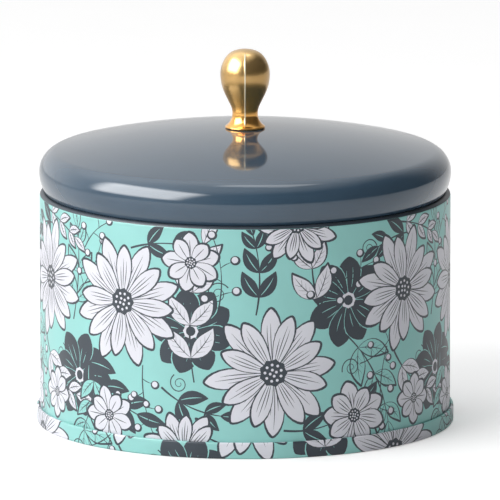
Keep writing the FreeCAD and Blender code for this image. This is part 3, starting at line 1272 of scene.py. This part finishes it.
@dataclass(frozen=True)
class BrassWithPaintedLight:
    """Lacquered brass with a polished foot, and painted light: the foot brighter and the crown paler as
    painted highlight, the middle darker as painted shade, and the parting ridge pale as a painted highlight
    line.
    """

    name: str
    # the crown, middle and foot colours paint highlight and shade by height, and the ridge colour paints a
    # highlight line
    crown: Colour
    shaded_belly: Colour
    foot: Colour
    ridge: Colour
    neck_height: float
    crown_height: float
    neck_blur: float = 0.15

    def material(self) -> Material:
        """Build the material.

        Returns:
            The finished material.
        """
        recipe = Recipe(self.name)
        neck, top, blur = self.neck_height * MM, self.crown_height * MM, self.neck_blur * MM
        height, middle = recipe.height(), (neck + top) / 2.0
        cloud = recipe.noise(size=3.0, detail=3.0, rough=0.55)
        # painted light: the crown paler and the foot brighter as painted highlight, the middle darker as
        # painted shade
        crown, shaded_belly, foot, pale = (recipe.mottled(cloud, colour, shades=(0.96, 1.04))
                                    for colour in (self.crown, self.shaded_belly, self.foot, self.ridge))
        foot_to_middle_shading = recipe.mix(recipe.spread(height, 0.0, 1.0, neck, middle), foot, shaded_belly)
        bulb = recipe.mix(recipe.spread(height, 0.0, 1.0, middle, top), foot_to_middle_shading, crown)
        # painted highlight: a pale, less metallic colour along the parting ridge
        line = recipe.spread(recipe.attribute(RIDGE), 0.0, 1.0, start=0.35, stop=0.75)
        above = recipe.spread(height, 0.0, 1.0, neck - blur, neck + blur)
        marks = recipe.noise(size=0.12, detail=3.0, rough=0.6, place=recipe.stretched((0.08, 0.08, 1.0)))
        gloss = recipe.combined("ADD", recipe.spread(above, 0.14, 0.24, start=0.0, stop=1.0),
                                recipe.spread(marks, 0.0, 0.03))
        recipe.drive(Base_Color=recipe.mix(line, bulb, pale), Roughness=gloss,
                     Metallic=recipe.spread(line, 0.86, 0.35, start=0.0, stop=1.0))
        recipe.bump(cloud, strength=0.04, depth=0.02)
        recipe.set(Coat_Weight=0.5, Coat_Roughness=0.10)
        return recipe.material


@dataclass(frozen=True)
class ZincSteel:
    """Bright zinc plating on steel: fine speckle and slight blue tarnish."""

    name: str
    colour: Colour
    tarnish: Colour

    def material(self) -> Material:
        """Build the material.

        Returns:
            The finished material.
        """
        recipe = Recipe(self.name)
        cloud = recipe.noise(size=1.5, detail=3.0, rough=0.6)
        recipe.drive(Base_Color=recipe.ramp(cloud, (0.3, self.tarnish), (0.7, self.colour)),
                     Roughness=recipe.spread(cloud, 0.38, 0.24))
        recipe.bump(recipe.noise(size=0.15), strength=0.10, depth=0.01)
        recipe.set(Metallic=1.0)
        return recipe.material


@dataclass(frozen=True)
class StudioFloor:
    """Pale seamless paper that reads as white to the lens and in gloss, and keeps shadows."""

    name: str
    colour: Colour
    lift: float
    mirror_lift: float

    def material(self) -> Material:
        """Build the material.

        Returns:
            The finished material.
        """
        recipe = Recipe(self.name)
        fibre = recipe.noise(size=30.0, detail=3.0)
        path = recipe.node("ShaderNodeLightPath").outputs
        mirrored = recipe.combined("MAXIMUM", path["Is Glossy Ray"], path["Is Transmission Ray"])
        lifts = (recipe.spread(path["Is Camera Ray"], 0.0, self.lift, start=0.0, stop=1.0),
                 recipe.spread(mirrored, 0.0, self.mirror_lift, start=0.0, stop=1.0))
        recipe.drive(Base_Color=recipe.mottled(fibre, self.colour, shades=(0.985, 1.0), stops=(0.2, 0.8)),
                     Emission_Strength=recipe.combined("ADD", *lifts))
        recipe.set(Roughness=0.95, Specular_IOR_Level=0.0, Emission_Color=(1.0, 1.0, 1.0, 1.0))
        return recipe.material


@dataclass
class CaddyBody:
    """Printed wall with its rolled rim and side seam, and the base that is seamed to it."""

    sheet: float = 0.28
    fold_clearance: float = 0.06
    wall_radius: float = 60.0
    rim_height: float = 67.8
    rim_curl_radius: float = 1.2
    rim_curl_turn: float = 285.0
    # the print stops this far round the rolled rim; the rest of the rim's outside is dark ink, painted shade
    # under the lid's hem
    rim_print_turn: float = 22.0
    seam_height: float = 4.8
    seam_foot_flat: float = 0.5
    hook_end_clearance: float = 0.2
    panel_rise: float = 3.4
    panel_bend_radius: float = 0.9
    bead_inset: float = 14.0
    bead_width: float = 5.2
    bead_height: float = 0.9
    print_repeats: int = 3
    print_slide: float = 8.0
    wall_print_start: float = 3.6
    band_drop: float = 26.0
    band_slide: float = 47.0
    side_seam_margin: float = 0.55
    lap_width: float = 4.0
    lap_margin: float = 1.0
    lap_sink: float = 0.05
    lap_columns: int = 9
    rest_chart: Box = (0.0, 0.0, 1.0, 0.22)
    print_chart: Box = (0.0, 0.25, 1.0, 1.0)
    lap_chart: Box = (0.228, 0.0, 0.246, 0.96)
    cap_charts: tuple[Pair, Pair] = ((0.97, 0.23), (0.98, 0.23))

    @property
    def half(self) -> float:
        """Half of the sheet's thickness."""
        return self.sheet / 2.0

    @property
    def layer(self) -> float:
        """Step from one folded layer to the next."""
        return self.sheet + self.fold_clearance

    @property
    def wall_middle(self) -> float:
        """Radius of the wall's centre line."""
        return self.wall_radius - self.half

    @property
    def band_middle(self) -> float:
        """Radius of the outer band's centre line, three layers outside the wall's."""
        return self.wall_middle + 3.0 * self.layer

    @property
    def crown(self) -> float:
        """Height of the centre of the fold at the top of the seam."""
        return self.seam_height - self.layer - self.half

    @property
    def fold(self) -> float:
        """Height of the centre of the wall's fold at the bottom of the seam."""
        return 2.0 * self.layer + self.half

    @property
    def rim_centre(self) -> float:
        """Height of the centre of the rolled rim."""
        return self.rim_height - self.rim_curl_radius

    def floral_sheet(self) -> FloralSheet:
        """The print, with a whole number of repeats round the wall."""
        return FloralSheet(2.0 * math.pi * self.wall_radius / self.print_repeats)

    def wall_section(self) -> tuple[Section, int, int]:
        """Section of the wall: hook, fold, wall and rolled rim.

        Returns:
            The centre line, and the points where the print begins and ends.
        """
        hook_top = self.crown - self.hook_end_clearance
        bend = self.rim_curl_radius - self.half
        section = Section(self.wall_middle + 2.0 * self.layer, hook_top, -90.0)
        section.straight(hook_top - self.fold).bend(self.layer, -180.0, 12)
        section.straight(self.wall_print_start - self.fold)
        start = section.last()
        section.straight(self.rim_centre - self.wall_print_start, 21)
        section.bend(bend, self.rim_print_turn, 5)
        stop = section.last()
        section.bend(bend, self.rim_curl_turn - self.rim_print_turn, 24)
        return section, start, stop

    def base_section(self) -> tuple[Section, int, int]:
        """Section of the base: panel with its bead, chuck wall, foot, band and hook.

        Returns:
            The centre line, and the points where the print begins and ends.
        """
        chuck = self.wall_middle - self.layer
        foot_bend = (self.band_middle - chuck - self.seam_foot_flat) / 2.0
        foot = foot_bend + self.half
        turn = 2.0 * math.degrees(math.atan(2.0 * self.bead_height / self.bead_width))
        bead_bend = self.bead_width / (4.0 * math.sin(math.radians(turn)))
        section = Section(0.0, self.panel_rise + self.half, 0.0)
        section.straight(self.wall_radius - self.bead_inset - self.bead_width / 2.0, 12)
        section.bend(bead_bend, turn, 8).bend(bead_bend, -2.0 * turn, 14).bend(bead_bend, turn, 8)
        section.straight(chuck - self.panel_bend_radius - section.end()[0], 4)
        section.bend(self.panel_bend_radius, -90.0, 8)
        section.straight(section.end()[1] - foot).bend(foot_bend, 90.0, 6).straight(self.seam_foot_flat)
        start = section.last()
        section.bend(foot_bend, 90.0, 7).straight(self.crown - foot, 3).bend(self.layer, 180.0, 12)
        stop = section.last()
        section.straight(self.crown - self.fold - self.hook_end_clearance)
        return section, start, stop

    def printed_patches(self, section: Section, start: int, stop: int, place: PrintPlace,
                        under: Ink, inner: int) -> list[Patch]:
        """Patches of a pressed sheet with print on part of its outside, which is the line's right.

        Args:
            section: the sheet's centre line.
            start: number of the point where the print begins.
            stop: number of the point where it ends.
            place: where the print lies on this sheet.
            under: ink of the rest of the outside.
            inner: material number of the inside.

        Returns:
            The printed patch and the turned rest.
        """
        outer, inside_line = section.line(-self.half), section.line(self.half)
        line = np.concatenate([outer[stop:], inside_line[::-1], outer[:start + 1]])
        beyond = len(outer) - stop
        finish = np.full(len(line) - 1, int(under))
        finish[beyond:beyond + len(inside_line) - 1] = inner
        if section.poses[0, 0] == 0.0:
            # a sheet that starts on the axis has no edge there
            finish[beyond + len(inside_line) - 1] = -1
        rest = strip_chart(turned(line, finish, self.bearings()), self.rest_chart, len(line))
        printed = PrintedSkin(outer[start:stop + 1], self.floral_sheet(), self.wall_radius, place,
                              self.side_seam_margin, self.print_chart)
        return [printed.patch(), rest]

    def lap_patch(self, inner: int) -> Patch:
        """Side seam's lap inside the wall: a rectangle turned a short way, with two ends.

        Its strip lies sideways on the chart, and the ends beside it.

        Args:
            inner: material number of the inside.

        Returns:
            The closed patch, which sinks a little into the wall.
        """
        face = self.wall_radius - 2.0 * self.sheet
        back = face + self.sheet + self.lap_sink
        low = self.seam_height + self.lap_margin
        high = self.rim_height - 2.0 * self.rim_curl_radius - self.lap_margin
        line = np.array([[face, low], [back, low], [back, high], [face, high], [face, low]])
        bearings = BACK + np.linspace(-0.5, 0.5, self.lap_columns) * self.lap_width / self.wall_radius
        sides = turned(line, np.full(len(line) - 1, inner), bearings, closed=False)
        strip_chart(sides, self.lap_chart, len(line))
        ends = np.array([[0], [len(line) * (self.lap_columns - 1)]]) + np.arange(4)
        square = GUTTER * np.array([[0.0, 0.0], [1.0, 0.0], [1.0, 1.0], [0.0, 1.0]])
        chart = np.concatenate([sides.chart[..., ::-1], np.array(self.cap_charts)[:, None] + square])
        faces = np.concatenate([sides.faces, ends])
        return Patch(sides.points, faces, np.full(len(faces), inner), chart)

    def bearings(self) -> np.ndarray:
        """Bearings of the mesh columns, from the side seam at the back."""
        return BACK + 2.0 * np.pi * np.arange(COLUMNS) / COLUMNS

    def build(self, finishes: list[Material]) -> list[bpy.types.Object]:
        """Build and dress the wall and the base.

        Args:
            finishes: the inks in their order, then the bare inside.

        Returns:
            The two pieces.
        """
        inner = len(finishes) - 1
        # the wall's rolled rim past the print gets the dark line ink: painted shade for the shadow under the
        # lid's hem
        wall = self.printed_patches(*self.wall_section(), PrintPlace(self.wall_print_start, self.print_slide),
                                    Ink.LINE, inner)
        base = self.printed_patches(*self.base_section(), PrintPlace(self.band_drop, self.band_slide),
                                    Ink.GROUND, inner)
        return [
            make_piece("printed_wall", wall + [self.lap_patch(inner)], finishes,
                       Seat(Body.CADDY, "body_wall", "printed_tin")),
            make_piece("seamed_base", base, finishes, Seat(Body.CADDY, "base_plate", "base_tin")),
        ]


@dataclass
class CaddyLid:
    """Domed cover with its rolled hem, and the plug ring that is hooked into the hem."""

    body: CaddyBody
    overhang: float = 0.15
    dome_edge_slope: float = 13.3
    shoulder_radius: float = 6.4
    flank_radius: float = 11.2
    hem_radius: float = 0.6
    hem_leg: float = 1.2
    seat_clearance: float = 0.05
    plug_clearance: float = 0.3
    plug_depth: float = 8.0
    plug_hem_radius: float = 0.6
    plug_hem_turn: float = 200.0
    lock_clearance: float = 0.1
    hole_radius: float = 2.3

    @property
    def half(self) -> float:
        """Half of the sheet's thickness."""
        return self.body.half

    @property
    def skirt_middle(self) -> float:
        """Radius of the plug skirt's centre line, inside the mouth."""
        mouth = self.body.wall_radius - 2.0 * self.body.rim_curl_radius
        return mouth - self.plug_clearance - self.half

    @property
    def hem_leg_middle(self) -> float:
        """Radius of the centre line of the hem's upturned leg."""
        return self.skirt_middle + self.body.sheet + self.lock_clearance

    @property
    def lip_middle(self) -> float:
        """Radius of the centre line of the plug ring's lip."""
        return self.hem_leg_middle + self.body.sheet + self.lock_clearance

    @property
    def hem_centre(self) -> Pair:
        """Centre of the rolled hem, which rests on the rolled rim.

        Returns:
            Its radius and height.
        """
        radius = self.hem_leg_middle + self.hem_radius - self.half
        reach = self.hem_radius + self.body.rim_curl_radius + self.seat_clearance
        away = self.body.wall_radius - self.body.rim_curl_radius - radius
        return radius, self.body.rim_centre + math.sqrt(reach ** 2 - away ** 2)

    @property
    def flank_sweep(self) -> float:
        """Turn of the flank from the widest ring to the hem, degrees."""
        centre = self.body.wall_radius + self.overhang - self.flank_radius
        return math.degrees(math.acos((self.hem_centre[0] - centre) / (self.flank_radius - self.hem_radius)))

    @property
    def widest_height(self) -> float:
        """Height of the widest ring."""
        drop = (self.flank_radius - self.hem_radius) * math.sin(math.radians(self.flank_sweep))
        return self.hem_centre[1] + drop

    @property
    def dome_radius(self) -> float:
        """Radius of the dome's outside, from its slope at the shoulder.

        Returns:
            The radius.
        """
        slope = math.sin(math.radians(self.dome_edge_slope))
        edge = self.body.wall_radius + self.overhang - self.shoulder_radius * (1.0 - slope)
        return edge / slope

    @property
    def dome_centre(self) -> float:
        """Height of the dome's centre, far below the table."""
        slope = math.cos(math.radians(self.dome_edge_slope))
        return self.widest_height + (self.shoulder_radius - self.dome_radius) * slope

    def cover_section(self) -> Section:
        """Section of the cover: dome from the screw hole, shoulder, flank, hem and its leg.

        Returns:
            The centre line.
        """
        bend = self.dome_radius - self.half
        slope = math.asin(self.hole_radius / bend)
        section = Section(self.hole_radius, self.dome_centre + bend * math.cos(slope), -math.degrees(slope))
        section.bend(bend, math.degrees(slope) - self.dome_edge_slope, 26)
        section.bend(self.shoulder_radius - self.half, self.dome_edge_slope - 90.0, 24)
        section.bend(self.flank_radius - self.half, -self.flank_sweep, 12)
        section.bend(self.hem_radius - self.half, self.flank_sweep - 180.0, 14)
        return section.straight(self.hem_leg)

    def plug_section(self) -> Section:
        """Section of the plug ring: lip, fold over the hem's leg, skirt and rolled edge.

        Returns:
            The centre line.
        """
        hem = self.hem_centre[1]
        skirt_end = self.body.rim_height - self.plug_depth + self.plug_hem_radius
        section = Section(self.lip_middle, hem, 90.0)
        section.straight(self.hem_leg).bend((self.lip_middle - self.skirt_middle) / 2.0, 180.0, 12)
        section.straight(hem + self.hem_leg - skirt_end, 5)
        return section.bend(self.plug_hem_radius - self.half, -self.plug_hem_turn, 16)

    def pressed(self, section: Section, left: int, right: int) -> Patch:
        """A sheet turned about the axis.

        Args:
            section: the sheet's centre line.
            left: material number of the line's left side.
            right: material number of its right side.

        Returns:
            The closed patch.
        """
        over, below = section.line(self.half), section.line(-self.half)
        line = np.concatenate([over, below[::-1], over[:1]])
        finish = np.repeat([left, right], len(over))
        return turned(line, finish)

    def build(self, enamel: Material, lacquer: Material, tin: Material) -> list[bpy.types.Object]:
        """Build and dress the cover and the plug ring.

        Args:
            enamel: finish of the cover's outside.
            lacquer: finish of the cover's inside.
            tin: finish of the plug ring.

        Returns:
            The two pieces.
        """
        return [
            make_piece("lid_shell", [self.pressed(self.cover_section(), 0, 1)], [enamel, lacquer],
                       Seat(Body.LID, "lid_cover", "lid_enamel")),
            make_piece("plug_ring", [self.pressed(self.plug_section(), 0, 0)], [tin],
                       Seat(Body.LID, "lid_plug_ring", "bare_tin")),
        ]


@dataclass
class CastKnob:
    """Cast knob: bulb, neck and flared foot, with the mould's parting ridge front and back."""

    lid: CaddyLid
    radius: float = 7.25
    crown_radius: float = 9.5
    shoulder_radius: float = 5.2
    cheek_radius: float = 8.6
    cheek_sweep: float = 36.0
    belly_radius: float = 13.2
    taper: float = 26.2
    waist_radius: float = 5.0
    neck_radius: float = 3.75
    neck_length: float = 0.25
    flare_radius: float = 4.3
    flare_sweep: float = 57.0
    lip_radius: float = 0.35
    recess_inset: float = 1.2
    recess_depth: float = 0.4
    tap_radius: float = 2.05
    tap_depth: float = 10.5
    seat_clearance: float = 0.02
    ridge_height: float = 0.09
    ridge_width: float = 0.24
    ridge_columns: int = 12
    ridge_reach: float = 3.0
    ridge_room: float = 1.05
    fade_shares: tuple[float, ...] = (1.0 / 12.0, 1.0 / 4.0, 11.0 / 12.0, 1.0)
    fade_levels: tuple[float, ...] = (0.0, 1.0, 1.0, 0.0)
    columns: int = 150

    def outline(self) -> tuple[Section, int, float]:
        """Outside of the knob from its crown to its foot, with the crown at height nothing.

        Returns:
            The line, the number of its point at the lip and the height of the neck.
        """
        start = 90.0 - self.cheek_sweep
        sine = math.sin(math.radians(start))
        reach = self.shoulder_radius * sine + self.cheek_radius * (1.0 - sine)
        crown = math.degrees(math.asin((self.radius - reach) / (self.crown_radius - self.shoulder_radius)))
        lean = math.radians(self.taper)
        rounds = (self.belly_radius + self.waist_radius) * (1.0 - math.cos(lean))
        section = Section(0.0, 0.0, 0.0)
        section.bend(self.crown_radius, -crown, 10).bend(self.shoulder_radius, crown - start, 20)
        section.bend(self.cheek_radius, -self.cheek_sweep, 14).bend(self.belly_radius, -self.taper, 14)
        section.straight((self.radius - self.neck_radius - rounds) / math.sin(lean), 6)
        section.bend(self.waist_radius, self.taper, 10).straight(self.neck_length, 2)
        neck = section.end()[1]
        section.bend(self.flare_radius, self.flare_sweep, 16)
        lip = section.last()
        section.bend(self.lip_radius, -90.0 - self.flare_sweep, 10)
        return section, lip, neck

    def off_parting(self, bearings: np.ndarray) -> np.ndarray:
        """Angles of bearings from the parting plane, which runs from front to back."""
        return np.abs(bearings % np.pi - np.pi / 2.0)

    def bearings(self) -> np.ndarray:
        """Bearings of the columns: even all round, and close together across the two ridges.

        Returns:
            Rising bearings, radians.
        """
        even = 2.0 * np.pi * np.arange(self.columns) / self.columns
        reach = self.ridge_reach * self.ridge_width / self.radius
        close = np.linspace(-reach, reach, 2 * self.ridge_columns + 1)
        spare = even[self.off_parting(even) > self.ridge_room * reach]
        return np.sort(np.concatenate([spare, np.pi / 2.0 + close, 3.0 * np.pi / 2.0 + close]))

    def seat_height(self) -> float:
        """Height of the foot, which stands on the dome at its recess."""
        foot = self.outline()[0].end()[0] - self.recess_inset
        return self.lid.dome_centre + math.sqrt(self.lid.dome_radius ** 2 - foot ** 2) + self.seat_clearance

    def crown_height(self) -> float:
        """Height of the crown above the table."""
        return self.seat_height() - self.outline()[0].end()[1]

    def neck_height(self) -> float:
        """Height of the neck above the table."""
        return self.crown_height() + self.outline()[2]

    def patch(self) -> Patch:
        """The knob turned, with the ridge added outwards from its section.

        The ridge is a bell curve of the distance along the surface from the parting plane,
        and fades out over the crown and at the lip.

        Returns:
            The closed patch.
        """
        section, lip, _ = self.outline()
        outside = section.line()
        foot, low = section.end()
        recess, top = foot - self.recess_inset, low + self.recess_depth
        below = np.array([[recess, low], [recess, top], [self.tap_radius, top],
                          [self.tap_radius, low + self.tap_depth], [0.0, low + self.tap_depth]])
        line = np.concatenate([outside, below]) + np.array([0.0, self.seat_height() - low])
        bearings = self.bearings()
        patch = turned(line, np.zeros(len(line) - 1, int), bearings)
        grid = patch.points.reshape(len(bearings), len(line), 3)
        heading = section.poses[:, 2]
        distance = np.outer(self.off_parting(bearings), outside[:, 0])
        fade = np.interp(np.arange(len(outside)) / lip, self.fade_shares, self.fade_levels)
        rise = self.ridge_height * np.exp(-(distance / self.ridge_width) ** 2) * fade
        normal = np.stack([np.outer(np.cos(bearings), -np.sin(heading)),
                           np.outer(np.sin(bearings), -np.sin(heading)),
                           np.broadcast_to(np.cos(heading), rise.shape)], axis=-1)
        grid[:, :len(outside)] += rise[..., None] * normal
        patch.marks = np.pad(rise / self.ridge_height, ((0, 0), (0, len(below)))).ravel()
        return patch

    def build(self, brass: Material) -> bpy.types.Object:
        """Build and dress the knob.

        Args:
            brass: its finish.

        Returns:
            The piece.
        """
        return make_piece("cast_knob", [self.patch()], [brass], Seat(Body.LID, "knob", "knob_brass"))


@dataclass
class KnobFastening:
    """Screw and washers under the dome, kept as they were made, in bright plating."""

    nodes: tuple[str, ...] = ("knob_screw", "flat_washer", "spring_washer")
    slot: str = "fastener_steel"

    def dress(self, steel: Material) -> None:
        """Give the fasteners their finish.

        Args:
            steel: their finish.
        """
        for node in self.nodes:
            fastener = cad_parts[node]
            for material_slot in fastener.material_slots:
                material_slot.material = steel
            log.info("%s: kept, dressed in %s", node, steel.name)


@dataclass(frozen=True)
class Glow:
    """A brighter part of the room: its level rises between two cosines of the angle to it."""

    towards: Triple
    start: float
    stop: float
    level: float


@dataclass(frozen=True)
class SoftBox:
    """A lamp behind cloth, facing the caddy.

    bearing is in degrees from the camera's side, to the right where positive, and elevation
    in degrees above the table. distance, width and height are in metres, and brightness is
    1 for white paper in full light.
    """

    name: str
    bearing: float
    elevation: float
    distance: float
    width: float
    height: float
    brightness: float
    shines: Shines


@dataclass
class Studio:
    """Floor, soft light and the camera at the photograph's angle. Metres and degrees."""

    floor_side: float = 12.0
    floor_drop: float = 0.00005
    camera_distance: float = 3.4896
    camera_height: float = 0.6909
    camera_side: float = 0.00143
    camera_pitch: float = 10.405
    lens: float = 873.96
    sensor: float = 36.0
    view_depth: float = 100.0
    target: Triple = (0.0, 0.0, 0.05)
    box_fade: float = 0.22
    room_level: float = 0.05
    glows: tuple[Glow, ...] = (
        Glow((-0.30, 0.95, 0.10), 0.15, 0.98, 0.60),
        Glow((-0.15, 0.10, 0.98), 0.62, 0.99, 0.85),
        Glow((-1.0, 0.0, 0.1), -0.10, 0.90, 0.55),
    )
    boxes: tuple[SoftBox, ...] = (
        SoftBox("key_box", -50.0, 36.0, 1.0, 1.0, 0.7, 5.1, Shines.SOFT),
        SoftBox("key_gloss", -65.0, 33.0, 1.0, 1.3, 0.95, 7.0, Shines.GLOSS),
        SoftBox("top_box", 160.0, 76.0, 1.1, 0.5, 0.4, 1.6, Shines.ALL),
    )

    def camera(self) -> None:
        """Place the camera and make it the scene's."""
        data = bpy.data.cameras.new("photo_camera")
        data.lens = self.lens
        data.sensor_width = self.sensor
        data.clip_end = self.view_depth
        camera = placed("photo_camera", data)
        camera.location = (self.camera_side, -self.camera_distance, self.camera_height)
        camera.rotation_euler = (math.radians(90.0 - self.camera_pitch), 0.0, 0.0)
        bpy.context.scene.camera = camera

    def floor(self, paper: Material) -> None:
        """Lay the floor: a flat grid under the base.

        Args:
            paper: its finish.
        """
        half = self.floor_side / 2.0
        across = np.linspace(-half, half, 3)
        x, y = np.meshgrid(across, across)
        points = np.stack([x.ravel(), y.ravel(), np.full(x.size, -self.floor_drop)], axis=1)
        corner = (np.arange(2)[:, None] * 3 + np.arange(2)).ravel()
        mesh = bpy.data.meshes.new("studio_floor")
        mesh.from_pydata(points, [], np.stack([corner, corner + 1, corner + 4, corner + 3], axis=1).tolist())
        mesh.materials.append(paper)
        placed("studio_floor", mesh)

    def lamp(self, box: SoftBox) -> None:
        """Hang a soft box.

        Args:
            box: the soft box.
        """
        data = bpy.data.lights.new(box.name, "AREA")
        data.shape = "RECTANGLE"
        data.size = box.width
        data.size_y = box.height
        data.energy = box.brightness * math.pi * box.width * box.height
        self.soften(data)
        across, up = math.radians(box.bearing), math.radians(box.elevation)
        away = Vector((math.sin(across) * math.cos(up), -math.cos(across) * math.cos(up), math.sin(up)))
        lamp = placed(box.name, data)
        lamp.location = Vector(self.target) + box.distance * away
        lamp.rotation_mode = "QUATERNION"
        lamp.rotation_quaternion = (-away).to_track_quat("-Z", "Y")
        lamp.visible_camera = False
        lamp.visible_diffuse = box.shines is not Shines.GLOSS
        lamp.visible_glossy = box.shines is not Shines.SOFT

    def soften(self, data: bpy.types.Light) -> None:
        """Let a soft box fade towards its edges, as cloth over a lamp does.

        Args:
            data: the lamp.
        """
        data.use_nodes = True
        wiring = Wiring(data.node_tree)
        split = wiring.node("ShaderNodeSeparateXYZ")
        wiring.join(wiring.node("ShaderNodeNewGeometry").outputs["Parametric"], split.inputs["Vector"])
        fades = []
        for axis in "XY":
            away = wiring.node("ShaderNodeMath", operation="PINGPONG")
            away.inputs[1].default_value = 0.5
            wiring.join(split.outputs[axis], away.inputs[0])
            fades.append(wiring.spread(away.outputs["Value"], 0.0, 1.0, start=0.0, stop=self.box_fade))
        wiring.join(wiring.combined("MULTIPLY", *fades), data.node_tree.nodes["Emission"].inputs["Strength"])

    def sky(self) -> None:
        """Light the room: dim, and brighter towards each of its glows."""
        world = bpy.data.worlds.new("studio_room")
        world.use_nodes = True
        wiring = Wiring(world.node_tree)
        background = world.node_tree.nodes["Background"]
        background.inputs["Color"].default_value = (1.0, 1.0, 1.0, 1.0)
        place = wiring.node("ShaderNodeTexCoord").outputs["Generated"]
        total = background.inputs["Strength"]
        for glow in self.glows:
            facing = wiring.node("ShaderNodeVectorMath", operation="DOT_PRODUCT")
            facing.inputs[1].default_value = Vector(glow.towards).normalized()
            wiring.join(place, facing.inputs[0])
            add = wiring.node("ShaderNodeMath", operation="ADD")
            add.inputs[1].default_value = self.room_level
            part = wiring.spread(facing.outputs["Value"], 0.0, glow.level, glow.start, glow.stop)
            wiring.join(part, add.inputs[0])
            wiring.join(add.outputs["Value"], total)
            total = add.inputs[1]
        bpy.context.scene.world = world

    def build(self, paper: Material) -> None:
        """Set up the whole studio.

        Args:
            paper: finish of the floor.
        """
        self.floor(paper)
        self.camera()
        self.sky()
        for box in self.boxes:
            self.lamp(box)
        bpy.context.scene.view_settings.view_transform = "Standard"


def main() -> None:
    """Build the caddy, its lid and knob, and the studio, and report each piece."""
    logging.basicConfig(level=logging.INFO, format="%(name)s: %(message)s")
    inks = [PrintingInk("aqua_ink", (0.300, 0.645, 0.612)), PrintingInk("white_ink", (0.755, 0.755, 0.820)),
            PrintingInk("slate_ink", (0.034, 0.046, 0.061), mottle=0.08)]
    margin = Tinplate("seam_margin", (0.70, 0.71, 0.70), gloss=0.34)
    lacquer = Tinplate("lacquered_tin", (0.72, 0.68, 0.58), gloss=0.22)
    lid_lacquer = Tinplate("lid_lacquer", (0.72, 0.68, 0.58), grain=(1.0, 1.0, 1.0), gloss=0.22)
    body = CaddyBody()
    body.build([finish.material() for finish in (*inks, margin, lacquer)])
    lid = CaddyLid(body)
    lid.build(StovedEnamel("slate_enamel", (0.046, 0.084, 0.128)).material(), lid_lacquer.material(),
              Tinplate("bare_tin", (0.74, 0.73, 0.70)).material())
    knob = CastKnob(lid)
    # painted light on the knob: brighter foot and paler crown as painted highlight, darker middle as painted
    # shade, pale ridge as a painted highlight line
    brass = BrassWithPaintedLight("knob_brass", crown=(0.80, 0.53, 0.22), shaded_belly=(0.57, 0.345, 0.115),
                      foot=(0.96, 0.49, 0.115), ridge=(0.95, 0.85, 0.62),
                      neck_height=knob.neck_height(), crown_height=knob.crown_height())
    knob.build(brass.material())
    KnobFastening().dress(ZincSteel("zinc_steel", (0.66, 0.67, 0.68), tarnish=(0.52, 0.55, 0.60)).material())
    Studio().build(StudioFloor("white_paper", (0.86, 0.86, 0.86), lift=0.33, mirror_lift=0.08).material())


if __name__ == "__main__":
    main()
